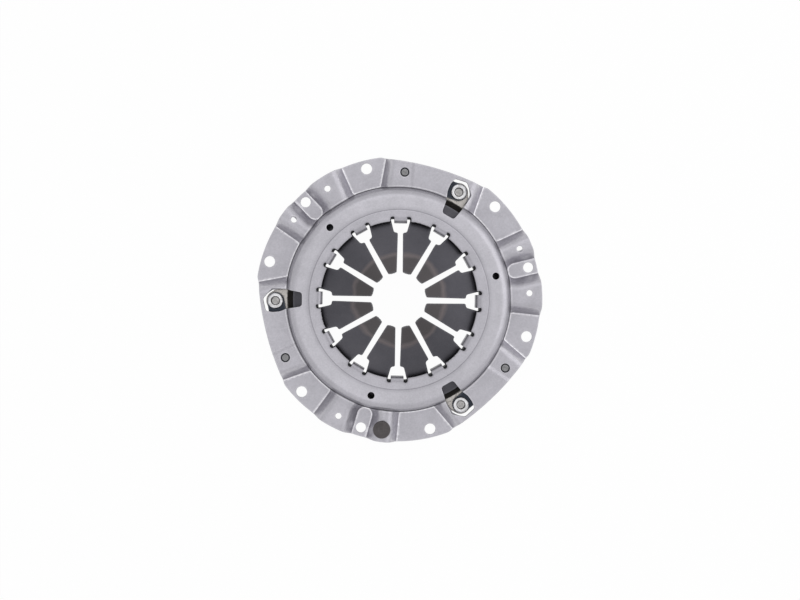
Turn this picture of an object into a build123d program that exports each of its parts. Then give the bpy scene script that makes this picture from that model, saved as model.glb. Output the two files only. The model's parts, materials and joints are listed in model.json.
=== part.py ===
from build123d import *
import os
from math import cos, hypot, radians, sin, tan

os.makedirs("parts", exist_ok=True)

# Diaphragm-spring clutch cover assembly, unbolted and unloaded.
# Frame: origin at the centre of the bolt circle, on the plane that meets the flywheel.
# +Z points to the release bearing and +X passes through a dowel hole.  Millimetres and degrees.

# ------------------------------------------------------------------ driving sizes
# Layout round the axis
sectors = 3                        # the flange repeats this many times
finger_count = 12                  # fingers of the spring; a tab stands in each slot between them
bolt_angles = (30.0, 90.0)         # the two bolt holes of one sector, from its dowel hole

# Flywheel mounting
bolt_inset = 7.0                   # rim to the circle of the bolt and dowel holes
bolt_hole_dia = 9.0
dowel_hole_dia = 8.4

# Cover pressing
cover_outer_dia = 234.0
cover_height = 33.5                # mounting plane to the flat top of the dome
sheet = 3.2
flange_lift = 11.5                 # mounting plane to the underside of the raised flange
strap_seat_drop = 1.1              # the strap seats lie this much under the raised flange
flange_width = 24.4                # rim to the dome wall, where it would meet the mounting plane
wall_draft = 8.7
crown_slope = 4.0                  # fall of the dome outside its flat ring
crown_slope_width = 21.1           # foot of the wall to the edge of that flat ring
crown_width = 29.7                 # foot of the wall to the bore
shoulder_radius = 7.0
fold_radius = 2.5
pad_draft = 28.0                   # lean of the slopes round the bolt pads, from upright
pad_corner_radius = 4.0
crest_bevel_height = 1.4            # the slopes' rounded top edge, taken as a bevel
crest_bevel_lean = 62.0
tongue_half_width = 6.2
pad_inner_angles = ((16.7, 34.6), (85.4, 99.6))
pad_outer_angles = ((15.3, 40.3), (80.3, 99.7))
strap_seat_inner_angles = (69.2, 84.0)
strap_seat_outer_angles = (70.6, 84.0)

# Low stretch of the rim over each strap, set in from the rim
waist_angles = (41.6, 78.4)
waist_shoulder_angles = (37.4, 83.2)
waist_end_inset = 3.3
waist_mid_inset = 6.3
waist_corner_radius = 7.0

# Windows for the drive lugs, set in from the rim
window_angles = (41.0, 51.2)
window_outer_inset = 6.1
window_far_inset = 7.3
window_chamfer_inset = 13.0
window_chamfer_angle = 45.3
window_corner_radius = 2.0
slot_depth = 15.1                  # how far each slot runs in from the foot of the wall
slot_inner_angles = (42.0, 50.1)
slot_corner_radius = 2.4

# Small holes
balance_hole_dia = 5.1
balance_hole_inset = 10.3
balance_hole_angles = (8.9, 109.0)
gauge_hole_dia = 5.6
gauge_hole_inset = 13.0            # foot of the wall to the gauge holes

# Tabs that hold the pivot rings
tab_width = 10.2
tab_overhang = 1.7                 # the upright part stands inside the bore by this much
tab_bend_radius = 0.5              # on the inside of the upper bend
tab_curl_radius = 1.7              # on the inside of the lower bend, round the lower ring
tab_foot_reach = 1.9               # the curled foot passes under the ring's centre by this much
notch_radius = 1.75
notch_reach = 3.2                  # bore to the outer end of a notch
notch_bite = 0.3                   # each notch runs this far into the side of its tab's root
bore_corner_radius = 1.5

# Pivot rings
ring_wire_dia = 3.5
ring_slack = 0.1                   # room between a ring and the tabs inside it
seat_gap = 0.03                    # room left where a ring or the spring lies on its seat

# Diaphragm spring
spring_sheet = 2.3
spring_cone = 14.0
spring_rim_room = 7.8              # foot of the wall to the spring's rim
spring_tip_radius = 21.6
tip_corner_radius = 1.2
slot_tip_width = 4.75
slot_root_width = 4.0
spring_window_length = 12.2
spring_window_inset = 0.5          # outer end of a window inside the end of the notches
spring_window_inner_width = 10.1
spring_window_outer_width = 16.6
spring_window_corner = 2.0

# Pressure plate
plate_face_height = 1.5            # friction face above the mounting plane, unloaded
plate_overhang = 1.2               # the plate's rim beyond the spring's
facing_width = 20.0                # width of the friction face
plate_thickness = 11.0
plate_draft = 3.0
plate_chamfer = 1.0
ridge_inset = 1.6                  # spring's rim to the middle of the ridge it presses on
ridge_crest_radius = 1.8
ridge_foot_width = 4.6             # middle of the ridge to its inner foot
ridge_clearance = 0.15
ridge_gap_width = 8.0
ridge_gap_floor = 14.5
lug_thickness = 3.2
lug_tip_radius = 7.9
lug_base_angles = (41.6, 55.0)
lug_base_depth = 2.0               # how far the lugs reach into the ring

# Drive straps
strap_leaves = ("lower", "middle", "upper")
leaf_thickness = 0.7
strap_width = 15.0
strap_bend_radius = 25.0
strap_clamp_length = 9.0           # flat length beyond each rivet before the bend starts
lug_rivet_angle = 46.9
lug_rivet_inset = 16.7             # rim to the lug rivets
strap_rivet_angle = 73.5
strap_rivet_inset = 13.6
lug_seat_height = 5.2              # top face of the lugs, unloaded

# Rivets
rivet_fit = 0.1                    # radial room round every shank
lug_rivet_shank_dia = 8.0
lug_rivet_head_dia = 12.3
lug_rivet_cup_dia = 7.8
lug_rivet_cup_depth = 2.4
lug_rivet_head_height = 1.9
lug_rivet_foot_dia = 11.0
lug_rivet_foot_height = 1.4
strap_rivet_shank_dia = 5.8
strap_rivet_sink_dia = 7.3
strap_rivet_sink_depth = 0.9
strap_rivet_foot_dia = 10.4
strap_rivet_foot_height = 1.8
weight_dia = 14.3
weight_height = 2.6
weight_edge_radius = 0.6
weight_foot_dia = 5.6
weight_foot_height = 0.5
weight_sector = 2                  # the sector whose first balance hole holds the weight

# ------------------------------------------------------------------ sizes worked out
sector_angle = 360 / sectors
finger_angle = 360 / finger_count
overcut = 1.0

cover_radius = cover_outer_dia / 2
bolt_circle_radius = cover_radius - bolt_inset
balance_hole_radius = cover_radius - balance_hole_inset
lug_rivet_radius = cover_radius - lug_rivet_inset
strap_rivet_radius = cover_radius - strap_rivet_inset
waist_end_radius = cover_radius - waist_end_inset
waist_mid_radius = cover_radius - waist_mid_inset
window_outer_radius = cover_radius - window_outer_inset
window_far_radius = cover_radius - window_far_inset
window_chamfer_radius = cover_radius - window_chamfer_inset
wall_foot_radius = cover_radius - flange_width
slot_inner_radius = wall_foot_radius - slot_depth
gauge_hole_radius = wall_foot_radius - gauge_hole_inset
crown_flat_radius = wall_foot_radius - crown_slope_width
cover_bore_radius = wall_foot_radius - crown_width
notch_reach_radius = cover_bore_radius + notch_reach
tab_inner_radius = cover_bore_radius - tab_overhang
trim_radius = cover_radius + 2 * sheet      # the skins run out to here before the rim is cut
flange_top = flange_lift + sheet
strap_seat = flange_lift - strap_seat_drop

cone_rise = tan(radians(spring_cone))
cone_stretch = 1 / cos(radians(spring_cone))
ring_wire_radius = ring_wire_dia / 2
tab_outer_radius = tab_inner_radius + sheet
ring_radius = hypot(tab_outer_radius, tab_width / 2) + ring_wire_radius + ring_slack
ring_seat = ring_wire_radius + seat_gap
ring_upper_height = cover_height - sheet - ring_seat
spring_top_at_ring = ring_upper_height - ring_seat * cone_stretch
spring_bottom_at_ring = spring_top_at_ring - spring_sheet * cone_stretch
ring_lower_height = spring_bottom_at_ring - ring_seat * cone_stretch
tab_foot_top = ring_lower_height - ring_seat

spring_rim_radius = wall_foot_radius - spring_rim_room
spring_window_outer_radius = notch_reach_radius - spring_window_inset
window_neck_radius = spring_window_outer_radius - spring_window_length
plate_outer_radius = spring_rim_radius + plate_overhang
plate_bore_radius = plate_outer_radius - facing_width
ridge_radius = spring_rim_radius - ridge_inset
ridge_inner_foot_radius = ridge_radius - ridge_foot_width
lug_base_radius = plate_outer_radius - lug_base_depth

pack_thickness = leaf_thickness * len(strap_leaves)
strap_top_at_lug = lug_seat_height + pack_thickness
strap_drop = strap_seat - strap_top_at_lug
lug_bottom = lug_seat_height - lug_thickness


def at_polar(radius, angle):
    """Point of the XY plane at a radius and an angle in degrees."""
    return (radius * cos(radians(angle)), radius * sin(radians(angle)))


def spring_top(radius):
    """Height of the spring's upper skin at a radius."""
    return spring_top_at_ring - (radius - ring_radius) * cone_rise


def spring_bottom(radius):
    """Height of the spring's lower skin at a radius."""
    return spring_top(radius) - spring_sheet * cone_stretch


# ------------------------------------------------------------------ cover
def skin_section(flange_height, depth):
    """Half section of what lies under the cover's outer skin, sunk square to it by depth."""
    slope = tan(radians(crown_slope))
    draft_run = tan(radians(wall_draft))
    wall_foot = wall_foot_radius - depth / cos(radians(wall_draft))
    crown = cover_height - depth
    edge_radius = wall_foot - (crown + crown_flat_radius * slope) * draft_run
    edge_radius = edge_radius / (1 - slope * draft_run)
    edge_height = crown - (edge_radius - crown_flat_radius) * slope
    fold_height = flange_height - depth
    floor = 0.0 if depth == 0 else -overcut
    with BuildSketch(Plane.XZ) as section:
        with BuildLine():
            FilletPolyline(
                (0, floor),
                (trim_radius, floor),
                (trim_radius, fold_height),
                (wall_foot - fold_height * draft_run, fold_height),
                (edge_radius, edge_height),
                (crown_flat_radius, crown),
                (0, crown),
                radius=(0, 0, 0, fold_radius + depth, shoulder_radius - depth, 0, 0),
                close=True,
            )
        make_face()
    return section.sketch


def pad_outline(inner_angles, outer_angles):
    """Foot of the slopes round one bolt pad, open to the rim."""
    inner_low, inner_high = inner_angles
    outer_low, outer_high = outer_angles
    inner_middle = (inner_low + inner_high) / 2
    with BuildSketch() as outline:
        with BuildLine():
            Line(at_polar(wall_foot_radius, inner_low), at_polar(trim_radius, outer_low))
            Line(at_polar(trim_radius, outer_low), at_polar(trim_radius, outer_high))
            Line(at_polar(trim_radius, outer_high), at_polar(wall_foot_radius, inner_high))
            ThreePointArc(
                at_polar(wall_foot_radius, inner_high),
                at_polar(wall_foot_radius, inner_middle),
                at_polar(wall_foot_radius, inner_low),
            )
        make_face()
        corners = outline.vertices().group_by(lambda corner: corner.center().length)[0]
        fillet(corners, pad_corner_radius)
    return outline.sketch


def tongue_outline():
    """Foot of the slopes round one dowel tongue, open to the rim."""
    end_centre = wall_foot_radius + tongue_half_width
    length = trim_radius - end_centre
    with BuildSketch() as outline:
        with Locations((end_centre, 0)):
            Circle(tongue_half_width)
            Rectangle(length, 2 * tongue_half_width, align=(Align.MIN, Align.CENTER))
    return outline.sketch


def low_areas(growth):
    """Outlines of every bolt pad and dowel tongue, grown all round."""
    outlines = [pad_outline(*angles) for angles in zip(pad_inner_angles, pad_outer_angles)]
    outlines.append(tongue_outline())
    with BuildSketch() as areas:
        for outline in outlines:
            grown = offset(outline, growth, mode=Mode.PRIVATE) if growth else outline
            with PolarLocations(0, sectors):
                add(grown)
    return areas.sketch


def strap_seat_outline():
    """One area that is set down for a strap rivet, from inside the wall to past the rim."""
    inner_radius = wall_foot_radius - shoulder_radius
    with BuildSketch() as outline:
        with BuildLine():
            Polyline(
                at_polar(inner_radius, strap_seat_inner_angles[0]),
                at_polar(trim_radius, strap_seat_outer_angles[0]),
                at_polar(trim_radius, strap_seat_outer_angles[1]),
                at_polar(inner_radius, strap_seat_inner_angles[1]),
                close=True,
            )
        make_face()
    return outline.sketch


def rim_outline():
    """Outer edge of the cover: round at the pads, waisted over each strap."""
    waist_middle = sum(waist_angles) / 2
    first_shoulder, last_shoulder = waist_shoulder_angles
    pad_middle = (last_shoulder + first_shoulder + sector_angle) / 2
    with BuildSketch() as outline:
        with BuildLine():
            for sector in range(sectors):
                turn = sector * sector_angle
                first_corner = at_polar(waist_end_radius, waist_angles[0] + turn)
                last_corner = at_polar(waist_end_radius, waist_angles[1] + turn)
                next_pad = at_polar(cover_radius, last_shoulder + turn)
                Line(at_polar(cover_radius, first_shoulder + turn), first_corner)
                ThreePointArc(first_corner, at_polar(waist_mid_radius, waist_middle + turn), last_corner)
                Line(last_corner, next_pad)
                ThreePointArc(
                    next_pad,
                    at_polar(cover_radius, pad_middle + turn),
                    at_polar(cover_radius, first_shoulder + turn + sector_angle),
                )
        make_face()
        fillet(outline.vertices(), waist_corner_radius)
    return outline.sketch


def window_outline():
    """One lug window: a slot down the dome that opens into a wider hole in the flange."""
    low, high = window_angles
    slot_low, slot_high = slot_inner_angles
    with BuildSketch() as outline:
        with BuildLine():
            Polyline(
                at_polar(slot_inner_radius, slot_low),
                at_polar(wall_foot_radius, low),
                at_polar(window_chamfer_radius, low),
                at_polar(window_outer_radius, window_chamfer_angle),
                at_polar(window_far_radius, high),
                at_polar(wall_foot_radius, high),
                at_polar(slot_inner_radius, slot_high),
                close=True,
            )
        make_face()
        by_radius = outline.vertices().group_by(lambda corner: round(corner.center().length, 1))
        fillet(by_radius[0], slot_corner_radius)
        outer = outline.vertices().filter_by(lambda corner: corner.center().length > wall_foot_radius + 1)
        fillet(outer, window_corner_radius)
    return outline.sketch


def bore_outline():
    """Inner edge of the cover, with a gap and two relief notches round every tab."""
    notch_centre = notch_reach_radius - notch_radius
    notch_side = tab_width / 2 + notch_radius - notch_bite
    gap_width = 2 * (notch_side + notch_radius)
    with BuildSketch() as outline:
        Circle(cover_bore_radius)
        with PolarLocations(0, finger_count, start_angle=finger_angle / 2):
            Rectangle(notch_centre, gap_width, align=(Align.MIN, Align.CENTER))
            with Locations((notch_centre, notch_side), (notch_centre, -notch_side)):
                Circle(notch_radius)
        corners = outline.vertices().filter_by(
            lambda corner: abs(corner.center().length - cover_bore_radius) < ring_slack
        )
        fillet(corners, bore_corner_radius)
    return outline.sketch


def bent_tab():
    """One tab on the +X side: out of the dome, down through the spring, curled under the ring."""
    root = notch_reach_radius
    foot_end = ring_radius + tab_foot_reach
    foot_bottom = tab_foot_top - sheet
    underside = cover_height - sheet
    bend = tab_bend_radius
    curl = tab_curl_radius
    with BuildPart() as tab:
        with BuildSketch(Plane.XZ.offset(-tab_width / 2)):
            with BuildLine():
                FilletPolyline(
                    (root, cover_height),
                    (tab_inner_radius, cover_height),
                    (tab_inner_radius, foot_bottom),
                    (foot_end, foot_bottom),
                    (foot_end, tab_foot_top),
                    (tab_outer_radius, tab_foot_top),
                    (tab_outer_radius, underside),
                    (root, underside),
                    radius=(0, bend + sheet, curl + sheet, 0, 0, curl, bend, 0),
                    close=True,
                )
            make_face()
        extrude(amount=tab_width)
    return tab.part


def dome_form(flange_height, depth):
    """Turned solid under the skin, with its flange at one height all round."""
    with BuildPart() as form:
        add(skin_section(flange_height, depth))
        revolve(axis=Axis.Z)
    return form.part


def pressed_form(depth):
    """What lies under the outer skin (depth 0) or under the inner skin (depth of one sheet)."""
    flange_foot = sheet - depth
    lean_growth = depth / cos(radians(pad_draft)) - depth * tan(radians(pad_draft))
    bevel_start = flange_top - crest_bevel_height
    bevel_growth = (bevel_start - sheet) * tan(radians(pad_draft))
    with BuildPart() as dies:
        with BuildSketch(Plane.XY.offset(flange_foot)):
            add(low_areas(lean_growth))
        extrude(amount=flange_lift + overcut, taper=-pad_draft)
        if depth == 0:
            with BuildSketch(Plane.XY.offset(bevel_start)):
                add(low_areas(bevel_growth))
            extrude(amount=crest_bevel_height + overcut, taper=-crest_bevel_lean)
        with BuildSketch(Plane.XY.offset(strap_seat + flange_foot)):
            with PolarLocations(0, sectors):
                add(strap_seat_outline())
        extrude(amount=flange_lift)
    with BuildPart() as form:
        add(dome_form(flange_top, depth))
        add(dies.part, mode=Mode.SUBTRACT)
        add(dome_form(sheet, depth))
    return form.part


with BuildPart() as cover:
    add(pressed_form(0))
    add(pressed_form(sheet), mode=Mode.SUBTRACT)
    with BuildSketch():
        add(rim_outline())
    extrude(amount=cover_height, mode=Mode.INTERSECT)
    with BuildSketch():
        add(bore_outline())
        with PolarLocations(0, sectors):
            add(window_outline())
        with PolarLocations(gauge_hole_radius, sectors):
            Circle(gauge_hole_dia / 2)
        for bolt_angle in bolt_angles:
            with PolarLocations(bolt_circle_radius, sectors, start_angle=bolt_angle):
                Circle(bolt_hole_dia / 2)
        with PolarLocations(bolt_circle_radius, sectors):
            Circle(dowel_hole_dia / 2)
        for hole_angle in balance_hole_angles:
            with PolarLocations(balance_hole_radius, sectors, start_angle=hole_angle):
                Circle(balance_hole_dia / 2)
    extrude(amount=cover_height, mode=Mode.SUBTRACT)
    with PolarLocations(strap_rivet_radius, sectors, start_angle=strap_rivet_angle):
        with Locations((0, 0, strap_seat + sheet)):
            CounterSinkHole(
                radius=strap_rivet_shank_dia / 2 + rivet_fit,
                counter_sink_radius=strap_rivet_sink_dia / 2 + rivet_fit,
                depth=2 * sheet,
            )
    with PolarLocations(0, finger_count, start_angle=finger_angle / 2):
        add(bent_tab())
cover.part.label = "cover"
export_step(cover.part, "parts/cover.step")


# ------------------------------------------------------------------ pivot rings
def pivot_ring(height):
    """Closed wire ring round the tabs at one height."""
    with BuildPart() as ring:
        with BuildSketch(Plane.XZ):
            with Locations((ring_radius, height)):
                Circle(ring_wire_radius)
        revolve(axis=Axis.Z)
    return ring.part


with BuildPart() as pivot_ring_upper:
    add(pivot_ring(ring_upper_height))
pivot_ring_upper.part.label = "pivot_ring_upper"
export_step(pivot_ring_upper.part, "parts/pivot_ring_upper.step")

with BuildPart() as pivot_ring_lower:
    add(pivot_ring(ring_lower_height))
pivot_ring_lower.part.label = "pivot_ring_lower"
export_step(pivot_ring_lower.part, "parts/pivot_ring_lower.step")


# ------------------------------------------------------------------ diaphragm spring
def finger_slots():
    """The spring's bore, and a slot with a window at its outer end between every two fingers."""
    with BuildSketch(mode=Mode.PRIVATE) as window:
        with BuildLine():
            Polyline(
                (window_neck_radius, -spring_window_inner_width / 2),
                (spring_window_outer_radius, -spring_window_outer_width / 2),
                (spring_window_outer_radius, spring_window_outer_width / 2),
                (window_neck_radius, spring_window_inner_width / 2),
                close=True,
            )
        make_face()
        fillet(window.vertices(), spring_window_corner)
    narrowing = (slot_tip_width - slot_root_width) / (window_neck_radius - spring_tip_radius)
    slot_centre_width = slot_tip_width + narrowing * spring_tip_radius
    slot_end = (window_neck_radius + spring_window_outer_radius) / 2
    slot_end_width = slot_tip_width - narrowing * (slot_end - spring_tip_radius)
    with BuildSketch(mode=Mode.PRIVATE) as slot:
        with BuildLine():
            Polyline(
                (0, -slot_centre_width / 2),
                (slot_end, -slot_end_width / 2),
                (slot_end, slot_end_width / 2),
                (0, slot_centre_width / 2),
                close=True,
            )
        make_face()
    with BuildSketch() as slots:
        Circle(spring_tip_radius)
        with PolarLocations(0, finger_count, start_angle=finger_angle / 2):
            add(slot.sketch)
            add(window.sketch)
        tips = slots.vertices().filter_by(
            lambda corner: abs(corner.center().length - spring_tip_radius) < ring_slack
        )
        fillet(tips, tip_corner_radius)
        mouths = slots.vertices().filter_by(
            lambda corner: abs(corner.center().length - window_neck_radius) < ring_slack
        )
        fillet(mouths, tip_corner_radius)
    return slots.sketch


with BuildPart() as diaphragm_spring:
    with BuildSketch(Plane.XZ):
        with BuildLine():
            Polyline(
                (overcut, spring_bottom(overcut)),
                (spring_rim_radius, spring_bottom(spring_rim_radius)),
                (spring_rim_radius, spring_top(spring_rim_radius)),
                (overcut, spring_top(overcut)),
                close=True,
            )
        make_face()
    revolve(axis=Axis.Z)
    with BuildSketch():
        add(finger_slots())
    extrude(amount=2 * cover_height, mode=Mode.SUBTRACT)
diaphragm_spring.part.label = "diaphragm_spring"
export_step(diaphragm_spring.part, "parts/diaphragm_spring.step")


# ------------------------------------------------------------------ pressure plate
def plate_section():
    """Half section of the cast ring: friction face down, ridge for the spring's rim on top."""
    back = plate_face_height + plate_thickness
    crest_centre = (
        spring_bottom(ridge_radius) - ridge_crest_radius * cone_stretch - ridge_clearance
    )
    draft_run = tan(radians(plate_draft))
    back_outer = plate_outer_radius - plate_thickness * draft_run
    crest_outer = ridge_radius + ridge_crest_radius
    crest_inner = ridge_radius - ridge_crest_radius
    crest_top = crest_centre + ridge_crest_radius
    with BuildSketch(Plane.XZ) as section:
        with BuildLine():
            FilletPolyline(
                (plate_bore_radius, plate_face_height),
                (plate_outer_radius, plate_face_height),
                (back_outer, back),
                (crest_outer, crest_top),
                (crest_inner, crest_top),
                (ridge_inner_foot_radius, back),
                (plate_bore_radius, back),
                radius=(0, 0, 0, ridge_crest_radius, ridge_crest_radius, ridge_crest_radius, 0),
                close=True,
            )
        make_face()
        bore_corners = section.vertices().filter_by(
            lambda corner: corner.center().X < plate_bore_radius + ring_slack
        )
        chamfer(bore_corners, plate_chamfer)
    return section.sketch


def lug_outline():
    """One lug in plan: round its rivet, widening into the ring."""
    low, high = lug_base_angles
    with BuildSketch() as outline:
        with Locations(at_polar(lug_rivet_radius, lug_rivet_angle)):
            Circle(lug_tip_radius)
        with BuildLine():
            Polyline(
                at_polar(lug_base_radius, low),
                at_polar(lug_base_radius + lug_thickness, low),
                at_polar(lug_base_radius + lug_thickness, high),
                at_polar(lug_base_radius, high),
                close=True,
            )
        make_face()
        make_hull()
    return outline.sketch


with BuildPart() as pressure_plate:
    add(plate_section())
    revolve(axis=Axis.Z)
    with BuildSketch(Plane.XY.offset(ridge_gap_floor)):
        with PolarLocations(ridge_radius, finger_count):
            Rectangle(2 * shoulder_radius, ridge_gap_width)
    extrude(amount=cover_height, mode=Mode.SUBTRACT)
    with BuildSketch(Plane.XY.offset(lug_bottom)):
        with PolarLocations(0, sectors):
            add(lug_outline())
    extrude(amount=lug_thickness)
    with BuildSketch(Plane.XY.offset(lug_bottom)):
        with PolarLocations(lug_rivet_radius, sectors, start_angle=lug_rivet_angle):
            Circle(lug_rivet_shank_dia / 2 + rivet_fit)
    extrude(amount=lug_thickness, mode=Mode.SUBTRACT)
pressure_plate.part.label = "pressure_plate"
export_step(pressure_plate.part, "parts/pressure_plate.step")


# ------------------------------------------------------------------ drive straps
def strap_leaf(sector, level):
    """One leaf of a strap pack: flat on the lug, bent up to the cover, round at both ends."""
    lug_point = Vector(*at_polar(lug_rivet_radius, lug_rivet_angle + sector * sector_angle))
    cover_point = Vector(*at_polar(strap_rivet_radius, strap_rivet_angle + sector * sector_angle))
    run = cover_point - lug_point
    along = run.normalized()
    plan = Plane(origin=lug_point, x_dir=along, z_dir=(0, 0, 1))
    side = Plane(origin=lug_point, x_dir=along, z_dir=along.cross(Vector(0, 0, 1)))
    low = lug_seat_height + level * leaf_thickness
    high = low + strap_drop
    start = -strap_width / 2 - overcut
    end = run.length + strap_width / 2 + overcut
    rise_start = strap_clamp_length
    rise_end = run.length - strap_clamp_length
    with BuildPart() as leaf:
        with BuildSketch(side):
            with BuildLine():
                FilletPolyline(
                    (start, low),
                    (rise_start, low),
                    (rise_end, high),
                    (end, high),
                    (end, high + leaf_thickness),
                    (rise_end, high + leaf_thickness),
                    (rise_start, low + leaf_thickness),
                    (start, low + leaf_thickness),
                    radius=(0, strap_bend_radius, strap_bend_radius, 0) * 2,
                    close=True,
                )
            make_face()
        extrude(amount=strap_width, both=True)
        with BuildSketch(plan):
            with Locations((run.length / 2, 0)):
                SlotCenterToCenter(run.length, strap_width)
            Circle(lug_rivet_shank_dia / 2 + rivet_fit, mode=Mode.SUBTRACT)
            with Locations((run.length, 0)):
                Circle(strap_rivet_shank_dia / 2 + rivet_fit, mode=Mode.SUBTRACT)
        extrude(amount=flange_top, mode=Mode.INTERSECT)
    return leaf.part


for sector in range(sectors):
    for level, level_name in enumerate(strap_leaves):
        leaf_name = f"drive_strap_{sector + 1}_{level_name}"
        with BuildPart() as drive_strap:
            add(strap_leaf(sector, level))
        drive_strap.part.label = leaf_name
        export_step(drive_strap.part, f"parts/{leaf_name}.step")


# ------------------------------------------------------------------ rivets and balance weight
def lug_rivet_section():
    """Half section of a semi-tubular rivet: closed head under the lug, rolled rim over the straps."""
    shank = lug_rivet_shank_dia / 2
    head = lug_rivet_head_dia / 2
    cup = lug_rivet_cup_dia / 2
    top = strap_top_at_lug + lug_rivet_head_height
    roll = lug_rivet_head_height / 2
    with BuildSketch(Plane.XZ) as section:
        with BuildLine():
            FilletPolyline(
                (0, lug_bottom - lug_rivet_foot_height),
                (lug_rivet_foot_dia / 2, lug_bottom - lug_rivet_foot_height),
                (lug_rivet_foot_dia / 2, lug_bottom),
                (shank, lug_bottom),
                (shank, strap_top_at_lug),
                (head, strap_top_at_lug),
                (head, top),
                (cup, top),
                (cup - roll, top - lug_rivet_cup_depth),
                (0, top - lug_rivet_cup_depth),
                radius=(0, lug_rivet_foot_height / 2, 0, 0, 0, roll / 2, roll, roll / 2, 0, 0),
                close=True,
            )
        make_face()
    return section.sketch


def strap_rivet_section():
    """Half section of a strap rivet: round head under the straps, flush end in the countersink."""
    shank = strap_rivet_shank_dia / 2
    foot = strap_rivet_foot_dia / 2
    pack_bottom = strap_seat - pack_thickness
    foot_bottom = pack_bottom - strap_rivet_foot_height
    top = strap_seat + sheet
    with BuildSketch(Plane.XZ) as section:
        with BuildLine():
            FilletPolyline(
                (0, foot_bottom),
                (foot, foot_bottom),
                (foot, pack_bottom),
                (shank, pack_bottom),
                (shank, top - strap_rivet_sink_depth),
                (0, top - strap_rivet_sink_depth / 2),
                radius=(0, strap_rivet_foot_height / 2, 0, 0, 0, 0),
                close=True,
            )
        make_face()
    return section.sketch


def weight_section():
    """Half section of the balance weight: a disc over the flange, its shank upset underneath."""
    shank = balance_hole_dia / 2 - rivet_fit
    disc = weight_dia / 2
    foot = weight_foot_dia / 2
    with BuildSketch(Plane.XZ) as section:
        with BuildLine():
            FilletPolyline(
                (0, flange_lift - weight_foot_height),
                (foot, flange_lift - weight_foot_height),
                (foot, flange_lift),
                (shank, flange_lift),
                (shank, flange_top),
                (disc, flange_top),
                (disc, flange_top + weight_height),
                (0, flange_top + weight_height),
                radius=(0, weight_foot_height / 2, 0, 0, 0, 0, weight_edge_radius, 0),
                close=True,
            )
        make_face()
    return section.sketch


def turned_pin(section, radius, angle):
    """Round part turned from its half section and stood at a radius and an angle."""
    with BuildPart() as pin:
        add(section)
        revolve(axis=Axis.Z)
    return pin.part.moved(Location(at_polar(radius, angle)))


for sector in range(sectors):
    turn = sector * sector_angle
    with BuildPart() as lug_rivet:
        add(turned_pin(lug_rivet_section(), lug_rivet_radius, lug_rivet_angle + turn))
    lug_rivet.part.label = f"lug_rivet_{sector + 1}"
    export_step(lug_rivet.part, f"parts/lug_rivet_{sector + 1}.step")

    with BuildPart() as strap_rivet:
        add(turned_pin(strap_rivet_section(), strap_rivet_radius, strap_rivet_angle + turn))
    strap_rivet.part.label = f"strap_rivet_{sector + 1}"
    export_step(strap_rivet.part, f"parts/strap_rivet_{sector + 1}.step")

with BuildPart() as balance_weight:
    weight_angle = weight_sector * sector_angle + balance_hole_angles[0]
    add(turned_pin(weight_section(), balance_hole_radius, weight_angle))
balance_weight.part.label = "balance_weight"
export_step(balance_weight.part, "parts/balance_weight.step")
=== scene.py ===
"""Dressed model of a diaphragm-spring clutch cover assembly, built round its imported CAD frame.

Sizes in the classes are millimetres and degrees in the row frame: +Z points to the release bearing and
+X passes through a dowel hole.  Meshes are written in metres.
"""

import json
import logging
from dataclasses import dataclass, field
from enum import Enum
from math import ceil, cos, pi, radians, sin, tan
from typing import Any, Sequence

import bpy
import numpy as np
from mathutils import Matrix, Vector
from mathutils.geometry import delaunay_2d_cdt

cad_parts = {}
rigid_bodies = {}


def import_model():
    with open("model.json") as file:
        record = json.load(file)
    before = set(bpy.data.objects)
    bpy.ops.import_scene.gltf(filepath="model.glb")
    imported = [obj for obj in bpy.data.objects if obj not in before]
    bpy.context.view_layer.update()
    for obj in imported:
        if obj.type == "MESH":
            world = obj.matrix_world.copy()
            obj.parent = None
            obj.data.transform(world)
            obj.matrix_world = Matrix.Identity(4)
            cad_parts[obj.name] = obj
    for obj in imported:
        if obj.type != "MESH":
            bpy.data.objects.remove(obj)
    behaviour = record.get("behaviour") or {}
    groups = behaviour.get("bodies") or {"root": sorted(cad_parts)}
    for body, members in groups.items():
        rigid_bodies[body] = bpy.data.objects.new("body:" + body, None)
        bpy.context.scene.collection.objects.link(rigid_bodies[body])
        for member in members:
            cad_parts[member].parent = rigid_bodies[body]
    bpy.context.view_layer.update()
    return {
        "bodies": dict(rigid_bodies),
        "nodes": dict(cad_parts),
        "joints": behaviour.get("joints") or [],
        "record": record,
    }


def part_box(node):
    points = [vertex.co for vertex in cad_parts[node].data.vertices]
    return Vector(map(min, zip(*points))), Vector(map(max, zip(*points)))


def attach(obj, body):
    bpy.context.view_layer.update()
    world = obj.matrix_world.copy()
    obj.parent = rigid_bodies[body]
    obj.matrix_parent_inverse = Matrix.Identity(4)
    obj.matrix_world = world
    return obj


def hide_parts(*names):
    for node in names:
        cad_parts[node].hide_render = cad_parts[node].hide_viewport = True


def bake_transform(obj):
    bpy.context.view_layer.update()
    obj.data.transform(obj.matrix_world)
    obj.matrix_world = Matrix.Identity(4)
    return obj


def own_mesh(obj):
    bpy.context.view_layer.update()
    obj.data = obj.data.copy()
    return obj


log = logging.getLogger("clutch_cover")

MM = 0.001
SECTORS = 3
FINGERS = 12
SECTOR_ANGLE = 360 / SECTORS
FINGER_ANGLE = 360 / FINGERS

# A difference too small to see, a length too short to divide by and the tolerance of a filled outline.
HAIR = 0.01
NO_LENGTH = 1e-12
FILL_TOLERANCE = 1e-6

# The range that nearly all of a noise texture's values fall in.
NOISE_SPAN = (0.3, 0.7)

# The Mix node's colour sockets, which share their names with its other kinds.
MIX_FIRST, MIX_SECOND, MIX_RESULT = 6, 7, 2

Array = np.ndarray
Point = tuple[float, float]
Corner = tuple[float, float, float]


class Body(Enum):
    """The bodies of the frame that pieces ride on."""

    COVER = "cover"
    PLATE = "pressure_plate"


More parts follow.
